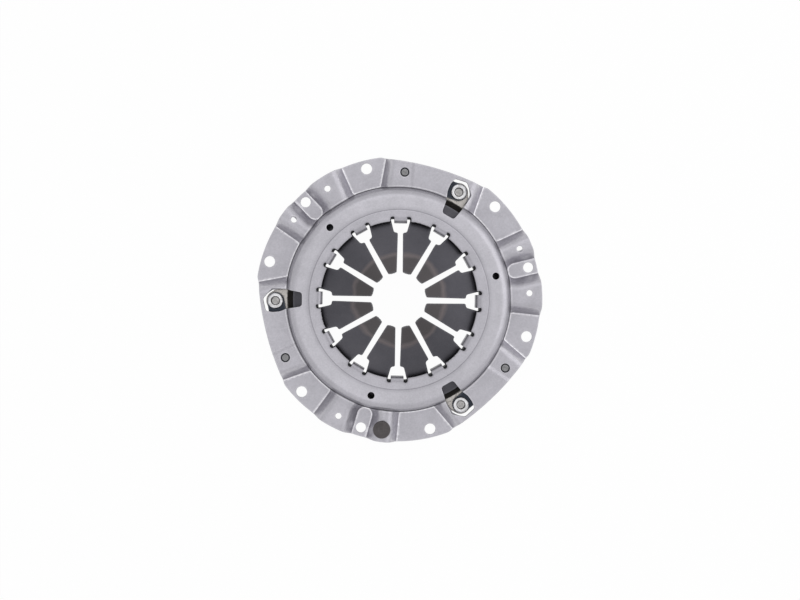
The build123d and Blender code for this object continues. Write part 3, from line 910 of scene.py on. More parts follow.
    def __post_init__(self) -> None:
        """Works out the radii that the methods share."""
        self.wall_foot = self.radius - self.flange_width
        self.wall_top = self.wall_foot - self.height * tan(radians(self.wall_draft))
        self.flat_edge = self.wall_foot - self.crown_slope_width
        self.bore = self.wall_foot - self.crown_width
        self.floor = self.sheet
        self.last_angle = self.first_angle + SECTOR_ANGLE
        knots = np.array([(getattr(self, base.value) + outwards, fineness)
                          for base, outwards, fineness in self.mesh_knots])
        self.radii = np.linspace(knots[0, 0], knots[-1, 0], self.mesh_samples)
        fineness = np.interp(self.radii, knots[:, 0], knots[:, 1])
        self.stations = np.concatenate([[0], np.cumsum(fineness[:-1] * np.diff(self.radii))])

    def unrolled(self, plan: Array) -> Array:
        """Plan points laid out for meshing: angle across, and up it the way along the sheet."""
        angles = np.degrees(np.arctan2(plan[:, 1], plan[:, 0]))
        ways = np.interp(np.hypot(plan[:, 0], plan[:, 1]), self.radii, self.stations)
        return np.stack([angles * self.plan_per_degree, ways], axis=-1)

    def rolled(self, laid_out: Array) -> Array:
        """The plan points of laid-out ones."""
        return at_polar(np.interp(laid_out[:, 1], self.stations, self.radii),
                        laid_out[:, 0] / self.plan_per_degree)

    # ---- shape of the skin
    def dome_height(self, radius: Array) -> Array:
        """Height of the dome's skin: flat ring, gentle slope, round shoulder and steep wall."""
        slope, run = tan(radians(self.crown_slope)), tan(radians(self.wall_draft))
        round_off = self.shoulder_radius
        top = self.height + self.flat_edge * slope - round_off / cos(radians(self.crown_slope))
        centre = self.wall_foot - round_off / cos(radians(self.wall_draft)) - run * top
        centre /= 1 - run * slope
        centre_height = top - slope * centre
        wall_start = centre + round_off * cos(radians(self.wall_draft))
        crown = self.height - np.maximum(radius - self.flat_edge, 0) * slope
        inner = np.clip(radius - centre, 0, round_off)
        shoulder = centre_height + np.sqrt(round_off ** 2 - inner ** 2)
        wall = (self.wall_foot - radius) / run
        rounded = np.where(radius < wall_start, shoulder, wall)
        height = np.where(radius < centre + round_off * sin(radians(self.crown_slope)), crown, rounded)
        crease = ridge_of(radius - self.flat_edge - self.crease_width, self.crease_width)
        return height - self.crease_depth * crease

    def pad_loops(self) -> list[Array]:
        """Foot of the slopes round the sector's pads and its dowel tongue."""
        beyond = self.radius + 2 * self.sheet
        loops = []
        for (low, high), (outer_low, outer_high) in zip(self.pad_inner_angles, self.pad_outer_angles):
            bow = np.linspace(high, low, self.bow_points)[1:-1]
            corners = [at_polar(self.wall_foot, low), at_polar(beyond, outer_low),
                       at_polar(beyond, outer_high), at_polar(self.wall_foot, high),
                       *at_polar(self.wall_foot, bow)]
            radii = [self.pad_corner_radius, 0, 0, self.pad_corner_radius, *(0 for _ in bow)]
            loops.append(rounded_loop([tuple(c) for c in corners], radii))
        half = self.tongue_half_width
        end = self.wall_foot + half
        arc = at_polar(half, np.linspace(270, 90, self.arc_points)) + np.array([end, 0])
        loops.append(np.vstack([arc, [(beyond, half), (beyond, -half)]]))
        return loops

    def past_pads(self, plan: Array) -> list[Array]:
        """Distance outside each pad's foot line, negative on the pad."""
        return [distance_to(plan, loop, True) * np.where(inside(plan, loop), -1, 1)
                for loop in self.pad_loops()]

    def slope(self, away: Array, rise: Array) -> Array:
        """Height over a pad at a distance outside its foot line, up to the raised flange."""
        lean = radians(90 - self.slope_lean)
        foot_reach = self.foot_radius * tan(lean / 2)
        crest_reach = self.crest_radius * tan(lean / 2)
        top = rise / tan(lean)
        foot_way = np.clip(away + foot_reach, 0, self.foot_radius)
        foot = self.foot_radius - np.sqrt(self.foot_radius ** 2 - foot_way ** 2)
        crest_way = np.clip(top + crest_reach - away, 0, self.crest_radius)
        crest = rise - self.crest_radius + np.sqrt(self.crest_radius ** 2 - crest_way ** 2)
        straight = np.clip(away * tan(lean), 0, rise)
        height = np.where(away < foot_reach * cos(lean), foot, straight)
        return np.where(away > top - crest_reach * cos(lean), crest, height)

    def flange_height(self, plan: Array) -> Array:
        """Height of the flange's skin, with its pads, tongue and strap seat."""
        radius = np.maximum(np.hypot(plan[:, 0], plan[:, 1]), self.wall_foot + self.pad_hold)
        angle = np.degrees(np.arctan2(plan[:, 1], plan[:, 0]))
        held = at_polar(radius, angle)
        seat_reach = (self.wall_foot - self.seat_overreach[0], self.radius + self.seat_overreach[1])
        step_angle = np.interp(radius, seat_reach, self.seat_angles) - SECTOR_ANGLE
        past_step = np.radians(angle - step_angle) * radius
        near_seat = angle < self.pad_inner_angles[1][0] + self.seat_beyond
        seat = smoothstep(past_step / self.seat_run + 0.5) * near_seat
        rise = self.flange_lift - self.seat_drop * seat
        lowest = rise
        for away in self.past_pads(held):
            height = self.slope(away, rise)
            overlap = np.clip(1 - np.abs(lowest - height) / self.valley_width, 0, 1)
            valley = self.valley_depth * overlap ** 2 * (height < rise) * (lowest < rise)
            lowest = np.minimum(lowest, height) - valley
        return self.floor + np.maximum(lowest, 0)

    def skin_height(self, plan: Array) -> Array:
        """Height of the upper skin anywhere on the cover, with the fold at the wall's foot."""
        radius = np.hypot(plan[:, 0], plan[:, 1])
        flange = self.flange_height(plan)
        centre, fold = self.fold_at(flange)
        inward = np.clip(centre - radius, 0, fold)
        folded = flange + fold - np.sqrt(fold ** 2 - inward ** 2)
        height = np.where(radius < centre, folded, flange)
        on_wall = radius < centre - fold * cos(radians(self.wall_draft))
        return np.where(on_wall, self.dome_height(radius), height)

    def fold_at(self, flange: Array) -> tuple[Array, Array]:
        """Where the fold between wall and flange is centred, and its radius, for the flange's height."""
        share = (flange - self.floor) / self.flange_lift
        fold = self.pad_fold_radius + (self.fold_radius - self.pad_fold_radius) * share
        lean = radians(self.wall_draft)
        return self.wall_foot - (flange + fold) * tan(lean) + fold / cos(lean), fold

    # ---- edges
    def rim_radius(self, angles: Array) -> Array:
        """Radius of the outer edge: round at the pads, waisted over each strap."""
        fine = np.arange(-SECTOR_ANGLE, SECTOR_ANGLE + self.rim_step, self.rim_step)
        turn = np.mod(fine - self.rim_wrap, SECTOR_ANGLE) + self.rim_wrap
        first, last = self.waist_angles
        middle = (first + last) / 2
        end, mid = self.radius - self.waist_end_inset, self.radius - self.waist_mid_inset
        half = radians(last - middle)
        end_x, end_y = end * cos(half), end * sin(half)
        centre = (mid ** 2 - end_x ** 2 - end_y ** 2) / (2 * (mid - end_x))
        bow = mid - centre
        off = np.radians(turn - middle)
        waist = centre * np.cos(off) + np.sqrt(bow ** 2 - (centre * np.sin(off)) ** 2)
        rim = np.full_like(fine, self.radius)
        rim = np.where((turn > first) & (turn < last), waist, rim)
        for shoulder, corner in ((self.waist_shoulders[0], first), (self.waist_shoulders[1], last)):
            span = radians(corner - shoulder)
            past = np.radians(turn - shoulder)
            line = self.radius * end * sin(span) / (self.radius * np.sin(past) + end * np.sin(span - past))
            between = (turn - shoulder) * (turn - corner) <= 0
            rim = np.where(between, line, rim)
        window = np.hanning(self.rim_smoothing)
        wrapped = np.pad(rim, self.rim_smoothing // 2, mode="wrap")
        return np.interp(angles, fine, np.convolve(wrapped, window / window.sum(), mode="valid"))

    def tab_mouth(self, angle: float) -> Array:
        """Bore edge past one tab: notch, tab root, notch, from the low angle to the high one."""
        centre_x = self.bore + self.notch_reach - self.notch_radius
        centre_y = self.tab_width / 2 + self.notch_radius - self.notch_bite
        side = centre_y + self.notch_radius
        start_x = (self.bore ** 2 - side ** 2) ** 0.5
        turn_in = np.degrees(np.arccos((centre_y - self.tab_width / 2) / self.notch_radius)) - 90
        notch = at_polar(self.notch_radius, np.linspace(90, turn_in, self.notch_points))
        notch += np.array([centre_x, centre_y])
        lead = (self.bore - self.throat_lead[0], side + self.throat_lead[1])
        throat = rounded_loop([lead, (start_x + self.throat_gap, side), (centre_x, side)],
                              [0, self.throat_radius, 0])[1:-1]
        upper = np.vstack([throat, notch])
        lower = upper[::-1] * np.array([1, -1])
        across = np.linspace(-1, 1, self.tab_columns) * self.tab_width / 2
        root = np.stack([np.full_like(across, self.tab_root), across], axis=-1)
        path = np.vstack([lower[::-1], root, upper[::-1]])
        spin = np.array([[cos(radians(angle)), sin(radians(angle))],
                         [-sin(radians(angle)), cos(radians(angle))]])
        return path @ spin

    @property
    def tab_face(self) -> float:
        """Radius of the tabs' inner face."""
        return self.bore - self.tab_overhang

    @property
    def tab_root(self) -> float:
        """Radius where a tab's bend starts."""
        return self.tab_face + self.tab_bend_radius

    def tab_angles(self) -> list[float]:
        """Angles of the tabs in this sector."""
        first = self.first_angle + (FINGER_ANGLE / 2 - self.first_angle) % FINGER_ANGLE
        return [first + FINGER_ANGLE * i for i in range(FINGERS // SECTORS)]

    def window_loop(self) -> Array:
        """One lug window: a slot down the dome that opens into a wider hole in the flange."""
        corners = [at_polar(getattr(self, base.value) + outwards, angle)
                   for base, outwards, angle, _ in self.window_corners]
        return rounded_loop([tuple(c) for c in corners], [corner[-1] for corner in self.window_corners])

    def hole_loops(self) -> list[Array]:
        """Every round hole of the sector."""
        return [circle(at_polar(getattr(self, base.value) + outwards, angle), width / 2, sides)
                for _, base, outwards, angle, width, sides in self.round_holes]

    def foot_lines(self, edges: list[Array]) -> list[Array]:
        """Rows of points along the pads' foot lines, where the skin turns sharply."""
        step = self.mesh_step * self.row_pitch
        lean = radians(90 - self.slope_lean)
        reach = self.foot_radius * tan(lean / 2)
        offsets = (-reach, -reach * self.row_inside, self.row_middle,
                   *(reach * cos(lean) + past for past in self.row_outside))
        wall_margin, rim_margin, edge_margin = self.row_margins
        lines = []
        for loop in self.pad_loops():
            dense = spaced(loop, self.row_step, True)
            ahead = np.roll(dense, -1, axis=0) - np.roll(dense, 1, axis=0)
            outward = np.stack([ahead[:, 1], -ahead[:, 0]], axis=-1)
            outward /= np.linalg.norm(outward, axis=1)[:, None]
            outward[inside(dense + outward * self.fine_step, loop)] *= -1
            for offset in offsets:
                row = dense + outward * offset
                radius = np.hypot(row[:, 0], row[:, 1])
                rim = self.rim_radius(np.degrees(np.arctan2(row[:, 1], row[:, 0])))
                fits = (radius > self.wall_foot + wall_margin) & (radius < rim - rim_margin)
                for edge in edges:
                    fits &= distance_to(row, edge, True) > edge_margin
                breaks = np.flatnonzero(np.diff(np.concatenate([[0], fits.astype(int), [0]])))
                for start, stop in zip(breaks[::2], breaks[1::2]):
                    if stop - start > self.row_shortest:
                        lines.append(spaced(self.unrolled(row[start:stop]), step, False))
        return lines

    # ---- building
    def sector(self) -> Surface:
        """One third of the skin, with its tabs."""
        holes = [*self.hole_loops(), self.window_loop()]
        rim_angles = np.arange(self.last_angle, self.first_angle - HAIR, -self.rim_angle_step)
        rim = at_polar(self.rim_radius(rim_angles), rim_angles)
        bore_path = self.bore_path()
        rim_path = spaced(self.unrolled(rim), self.mesh_step * self.rim_pitch, False)
        right, left = self.cut_sides(bore_path[0, 1], rim_path[0, 1])
        laid_holes = [spaced(self.unrolled(spaced(hole, self.fine_step, True)),
                             self.mesh_step * self.hole_pitch, True) for hole in holes]
        columns = np.arange(self.first_angle + self.angle_step, self.last_angle - HAIR, self.angle_step)
        rows = np.arange(self.mesh_step, self.stations[-1], self.mesh_step)
        lattice = np.stack(np.meshgrid(columns * self.plan_per_degree, rows), axis=-1).reshape(-1, 2)
        skin = Skin(np.vstack([bore_path, right, rim_path, left]), laid_holes, self.foot_lines(holes))
        laid_out, triangles = skin.fill(lattice, self.mesh_step * self.clear_pitch)
        plan = self.rolled(laid_out)
        # Bright edge burnish, painted highlights and sheen, and painted shade, as point attributes of the
        # skin and tabs.
        wear_and_painted_light = CoverWearAndPaintedLight(self)
        made = Surface()
        made.add(np.column_stack([plan, self.skin_height(plan)]), triangles[:, ::-1],
                 wear_and_painted_light.wear_and_sheen(plan, holes, rim), wear_and_painted_light.shade(plan, self.rolled(bore_path)))
        for angle in self.tab_angles():
            tab = self.tab_rows(angle)
            made.grid(tab, shade=wear_and_painted_light.down_tab(self.height - tab[..., 2]))
        return made

    def cut_sides(self, low: float, high: float) -> tuple[Array, Array]:
        """The sector's two straight sides laid out, up to the rim and back down to the bore."""
        ways = np.arange(self.mesh_step, self.stations[-1], self.mesh_step)
        ways = ways[(ways > low + self.side_margin) & (ways < high - self.side_margin)]
        first, last = self.first_angle * self.plan_per_degree, self.last_angle * self.plan_per_degree
        return (np.stack([np.full_like(ways, last), ways], axis=-1),
                np.stack([np.full_like(ways, first), ways[::-1]], axis=-1))

    def bore_path(self) -> Array:
        """The bore edge laid out, with plain arcs filled in between the tab mouths."""
        ends = [at_polar(self.bore, np.array([angle])) for angle in (self.first_angle, self.last_angle)]
        pieces = [ends[0], *(self.tab_mouth(angle) for angle in self.tab_angles()), ends[1]]
        path = []
        for before, after in zip(pieces, pieces[1:]):
            start, end = self.unrolled(before[-1:])[0], self.unrolled(after[:1])[0]
            path.append(self.unrolled(before))
            count = int(ceil(abs(end[0] - start[0]) / self.mesh_step))
            path.append(np.linspace(start, end, count + 1)[1:-1])
        path.append(self.unrolled(pieces[-1]))
        return np.vstack(path)

    def tab_rows(self, angle: float) -> Array:
        """Rows of points down one tab: over the bend, down and round the curl."""
        bend, curl = self.tab_bend_radius, self.tab_curl_radius
        over = at_polar(bend, np.linspace(90, 180, self.bend_points))
        over += np.array([self.tab_root, self.height - bend])
        round_foot = at_polar(curl, np.linspace(180, 270, self.bend_points))
        round_foot += np.array([self.tab_face + curl, self.tab_foot + curl])
        profile = np.vstack([over, round_foot, [(self.tab_foot_radius, self.tab_foot)]])
        across = np.linspace(-1, 1, self.tab_columns) * self.tab_width / 2
        away = np.repeat(profile[:, :1], len(across), axis=1)
        side = np.repeat(across[None, :], len(profile), axis=0)
        turn = radians(angle)
        return np.stack([away * cos(turn) - side * sin(turn), away * sin(turn) + side * cos(turn),
                         np.repeat(profile[:, 1:], len(across), axis=1)], axis=-1)

    def build(self, copies: PolarCopies, finish: bpy.types.Material) -> bpy.types.Object:
        """The whole cover in place of its CAD node."""
        made = copies.apply(self.sector().build("cover_pressing"), SECTORS, finish)
        front = len(made.data.vertices)
        thicken(made, self.sheet, -1.0)
        made = frozen(made)
        self.lay_back(made.data, front)
        ease(made, self.edge_ease, self.cut_angle)
        made = frozen(made)
        self.trim(made.data)
        return made

    def lay_back(self, mesh: bpy.types.Mesh, front: int) -> None:
        """Lays the sheet's back square under its front, by the slope of the skin itself.

        Args:
            mesh: the thickened sheet, its front's points first and its back's after them in the same order.
            front: how many points the front has.
        """
        places = places_of(mesh)
        top = places[:front]
        angle = np.degrees(np.arctan2(top[:, 1], top[:, 0]))
        turn = np.radians(np.floor((angle - self.first_angle) / SECTOR_ANGLE) * SECTOR_ANGLE)
        cosine, sine = np.cos(turn), np.sin(turn)
        plan = np.column_stack([cosine * top[:, 0] + sine * top[:, 1],
                                cosine * top[:, 1] - sine * top[:, 0]])
        on_skin = np.abs(self.skin_height(plan) - top[:, 2]) < self.slope_step
        plan, cosine, sine = plan[on_skin], cosine[on_skin], sine[on_skin]
        slopes = [(self.skin_height(plan + side) - self.skin_height(plan - side)) / (2 * self.slope_step)
                  for side in self.slope_step * np.eye(2)]
        square = np.column_stack([sine * slopes[1] - cosine * slopes[0],
                                  -sine * slopes[0] - cosine * slopes[1], np.ones(len(plan))])
        square /= np.linalg.norm(square, axis=1)[:, None]
        places[front:][on_skin] = top[on_skin] - self.sheet * square
        set_places(mesh, places)

    def trim(self, mesh: bpy.types.Mesh) -> None:
        """Cuts the sheet off square at its rim and keeps it on the flywheel's plane."""
        places = places_of(mesh)
        radius = np.hypot(places[:, 0], places[:, 1])
        angle = np.degrees(np.arctan2(places[:, 1], places[:, 0]))
        rim = self.rim_radius(np.mod(angle - self.first_angle, SECTOR_ANGLE) + self.first_angle)
        places[:, :2] *= np.minimum(1, rim / radius)[:, None]
        places[:, 2] = np.maximum(places[:, 2], 0)
        set_places(mesh, places)


@dataclass
class CoverWearAndPaintedLight:
    """Bright edge burnish, painted highlights and sheen, and painted shade on the cover, each from 0 to 1.

    A pair that ends in _from or _to says where a band starts or ends, and over what width it eases.
    """

    cover: CoverPressing
    # Bright: cut edges burnished by handling, a painted highlight line round each pad and painted sheen on
    # the slopes past it.
    cut_wear: float = 0.2
    cut_wear_width: float = 0.6
    flange_edge: float = 0.3
    foot_highlight_inset: float = 0.2
    foot_highlight_width: float = 0.4
    slope_sheen: float = 0.34
    slope_sheen_from: Point = (0.9, 1.2)
    slope_sheen_to: Point = (7.5, 3.0)
    # Bright: a painted highlight along the fold at the wall's foot, by a pad and by the raised flange, and
    # painted sheen on the dome's slope.
    fold_highlight: Point = (1.0, 0.5)
    fold_highlight_inset: float = 0.3
    fold_highlight_width: float = 0.35
    dome_sheen: float = 0.08
    dome_sheen_from: Point = (1.5, 2.5)
    dome_sheen_to: Point = (-7.0, 4.0)
    # Painted shade on the slopes round the pads, and a painted shadow line at their foot.
    flange_fade: float = 0.6
    slope_shade: float = 0.04
    slope_shade_reach: float = 5.0
    slope_shade_fall: float = 1.5
    slope_shade_inset: float = 0.1
    foot_shade: float = 0.32
    foot_shade_offset: float = 0.55
    foot_shade_width: float = 0.28
    low_share: float = 0.55
    # Painted shade low on the wall, and a painted shadow line in its fold.
    wall_shade: float = 0.24
    wall_shade_from: Point = (-7.0, 5.5)
    wall_shade_to: Point = (-1.0, 1.2)
    fold_shade: float = 0.9
    fold_shade_share: float = 0.55
    fold_shade_width: float = 0.5
    # Painted shade in the crown's crease and a second line past it, at the bore's edge and down the tabs.
    crease_shade: float = 0.5
    crease_shade_width: float = 0.3
    second_line: float = 1.5
    second_line_share: float = 0.45
    crown_shade: float = 0.07
    crown_shade_reach: float = 4.0
    bore_shade: float = 0.35
    bore_shade_width: float = 0.9
    tab_shade: float = 0.66
    tab_shade_start: float = 0.35

    def wear_and_sheen(self, plan: Array, holes: list[Array], rim: Array) -> Array:
        """How bright each point is: cut edges burnished by handling, and painted highlights and sheen.

        Args:
            plan: the points.
            holes: the holes' loops.
            rim: the outer edge.

        Returns:
            A number for each point.
        """
        cover = self.cover
        nearest = distance_to(plan, rim, False)
        for hole in holes:
            nearest = np.minimum(nearest, distance_to(plan, hole, True))
        wear_and_sheen = self.cut_wear * ridge_of(nearest, self.cut_wear_width)
        radius = np.hypot(plan[:, 0], plan[:, 1])
        on_flange = radius > cover.wall_foot + self.flange_edge
        for away in cover.past_pads(plan):
            wear_and_sheen = np.maximum(wear_and_sheen, ridge_of(away + self.foot_highlight_inset, self.foot_highlight_width) * on_flange)
            # Painted sheen that lightens the slopes past each pad.
            drawn = band_of(away, self.slope_sheen_from, self.slope_sheen_to)
            wear_and_sheen = np.maximum(wear_and_sheen, self.slope_sheen * drawn * on_flange)
        flange = cover.flange_height(plan)
        centre, _ = cover.fold_at(flange)
        by_pad = flange < cover.floor + cover.flange_lift / 2
        fold_line = ridge_of(radius - centre - self.fold_highlight_inset, self.fold_highlight_width)
        wear_and_sheen = np.maximum(wear_and_sheen, np.where(by_pad, *self.fold_highlight) * fold_line)
        (start, rise), (end, fall) = self.dome_sheen_from, self.dome_sheen_to
        dome_sheen_band = band_of(radius, (cover.flat_edge + start, rise), (cover.wall_foot + end, fall))
        return np.maximum(wear_and_sheen, self.dome_sheen * dome_sheen_band)

    def shade(self, plan: Array, bore: Array) -> Array:
        """How much painted shade each point has.

        Args:
            plan: the points.
            bore: the bore's edge.

        Returns:
            A number for each point.
        """
        from_bore = distance_to(plan, bore, False)
        past_crease = np.hypot(plan[:, 0], plan[:, 1]) - self.cover.flat_edge
        crown = self.crease_shade * ridge_of(past_crease - self.cover.crease_width, self.crease_shade_width)
        second_line = ridge_of(past_crease - self.second_line, self.crease_shade_width)
        crown += self.second_line_share * self.crease_shade * second_line
        fading = np.clip(1 - past_crease / self.crown_shade_reach, 0, 1)
        crown += self.crown_shade * fading * (past_crease > 0)
        painted_shade = np.clip(self.on_slopes(plan) + self.on_wall(plan) + crown, 0, 1)
        return np.maximum(painted_shade, self.bore_shade * ridge_of(from_bore, self.bore_shade_width))

    def on_slopes(self, plan: Array) -> Array:
        """Painted shade on the slopes round the pads and a painted shadow line at their feet."""
        cover = self.cover
        slopes = np.zeros(len(plan))
        for away in cover.past_pads(plan):
            fading = np.clip(1 - away / self.slope_shade_reach, 0, 1) ** self.slope_shade_fall
            slopes = np.maximum(slopes, self.slope_shade * fading * (away > -self.slope_shade_inset))
            foot = ridge_of(away - self.foot_shade_offset, self.foot_shade_width)
            slopes = np.maximum(slopes, self.foot_shade * foot)
        rise = np.clip((cover.skin_height(plan) - cover.floor) / cover.flange_lift, 0, 1)
        past_foot = np.hypot(plan[:, 0], plan[:, 1]) - cover.wall_foot
        on_flange = smoothstep(past_foot + self.flange_fade)
        return slopes * on_flange * (self.low_share + (1 - self.low_share) * rise)

    def on_wall(self, plan: Array) -> Array:
        """Painted shade on the lower wall and a painted shadow line in its fold."""
        radius = np.hypot(plan[:, 0], plan[:, 1])
        past_foot = radius - self.cover.wall_foot
        wall = self.wall_shade * band_of(past_foot, self.wall_shade_from, self.wall_shade_to)
        centre, fold_radius = self.cover.fold_at(self.cover.flange_height(plan))
        past_fold = radius - centre + self.fold_shade_share * fold_radius
        return np.maximum(wall, self.fold_shade * ridge_of(past_fold, self.fold_shade_width))

    def down_tab(self, depth: Array) -> Array:
        """Painted shade on a tab at depths below the crown."""
        return self.tab_shade * smoothstep(depth / self.cover.tab_bend_radius + self.tab_shade_start)


# ---------------------------------------------------------------- diaphragm spring
@dataclass
class DiaphragmSpring:
    """The slotted cone spring, meshed at the middle of its sheet."""

    rim_radius: float
    ring_radius: float
    middle_height: float
    sheet: float = 2.3
    cone: float = 14.0
    tip_radius: float = 21.6
    window_outer: float = 65.6
    window_neck: float = 53.4
    window_outer_half: float = 8.3
    window_inner_half: float = 5.05
    window_corner: float = 2.0
    slot_root_half: float = 2.0
    slot_tip_half: float = 2.375
    corner: float = 1.2
    tip_lead: Point = (0.3, 3.0)
    mesh_step: float = 1.5
    side_pitch: float = 0.6
    clear_pitch: float = 0.45
    rim_margin: float = 0.5
    rim_points: int = 24
    tip_points: int = 8
    wear_width: float = 0.6
    edge_ease: float = 0.2
    flattened: float = 0.09

    def middle(self, radius: Array) -> Array:
        """Height of the sheet's middle."""
        return self.middle_height - (radius - self.ring_radius) * tan(radians(self.cone))

    def slot_side(self) -> Array:
        """One side of a slot, from its window's outer end to the finger's tip, at half the finger angle."""
        tip = (self.tip_radius ** 2 - self.slot_tip_half ** 2) ** 0.5
        corners = [(self.window_outer, 0.0), (self.window_outer, -self.window_outer_half),
                   (self.window_neck, -self.window_inner_half), (self.window_neck, -self.slot_root_half),
                   (tip, -self.slot_tip_half),
                   (tip + self.tip_lead[0], -self.slot_tip_half - self.tip_lead[1])]
        path = rounded_loop(corners, [0, self.window_corner, self.window_corner, self.corner,
                                      self.corner, 0])[:-1]
        turn = radians(FINGER_ANGLE / 2)
        spin = np.array([[cos(turn), sin(turn)], [-sin(turn), cos(turn)]])
        return path @ spin

    def finger(self) -> Surface:
        """One finger with its share of the rim."""
        side = spaced(self.slot_side(), self.mesh_step * self.side_pitch, False)
        mirrored = side[::-1] * np.array([1, -1])
        half = FINGER_ANGLE / 2
        radii = np.arange(self.window_outer + self.mesh_step, self.rim_radius - self.rim_margin,
                          self.mesh_step)
        rim = at_polar(self.rim_radius, np.linspace(-half, half, self.rim_points))
        end_angle = np.degrees(np.arctan2(side[-1, 1], side[-1, 0]))
        tip = at_polar(self.tip_radius, np.linspace(end_angle, -end_angle, self.tip_points)[1:-1])
        outline = np.vstack([side, tip, mirrored, at_polar(radii, -half), rim, at_polar(radii[::-1], half)])
        rows = []
        for radius in np.arange(self.tip_radius, self.rim_radius, self.mesh_step):
            count = max(int(radius * radians(2 * half) / self.mesh_step), 3)
            rows.append(at_polar(radius, np.linspace(-half, half, count)[1:-1]))
        plan, triangles = Skin(outline, []).fill(np.vstack(rows), self.mesh_step * self.clear_pitch)
        radius = np.hypot(plan[:, 0], plan[:, 1])
        slot_edges = np.minimum(distance_to(plan, side, False), distance_to(plan, mirrored, False))
        ends = np.minimum(self.rim_radius - radius, radius - self.tip_radius)
        made = Surface()
        made.add(np.column_stack([plan, self.middle(radius)]), triangles,
                 ridge_of(np.minimum(slot_edges, ends), self.wear_width))
        return made

    def build(self, copies: PolarCopies, finish: bpy.types.Material) -> bpy.types.Object:
        """The whole spring, thickened from its middle."""
        made = copies.apply(self.finger().build("diaphragm_plate"), FINGERS, finish)
        thicken(made, self.sheet, 0.0)
        ease(made, self.edge_ease)
        return made


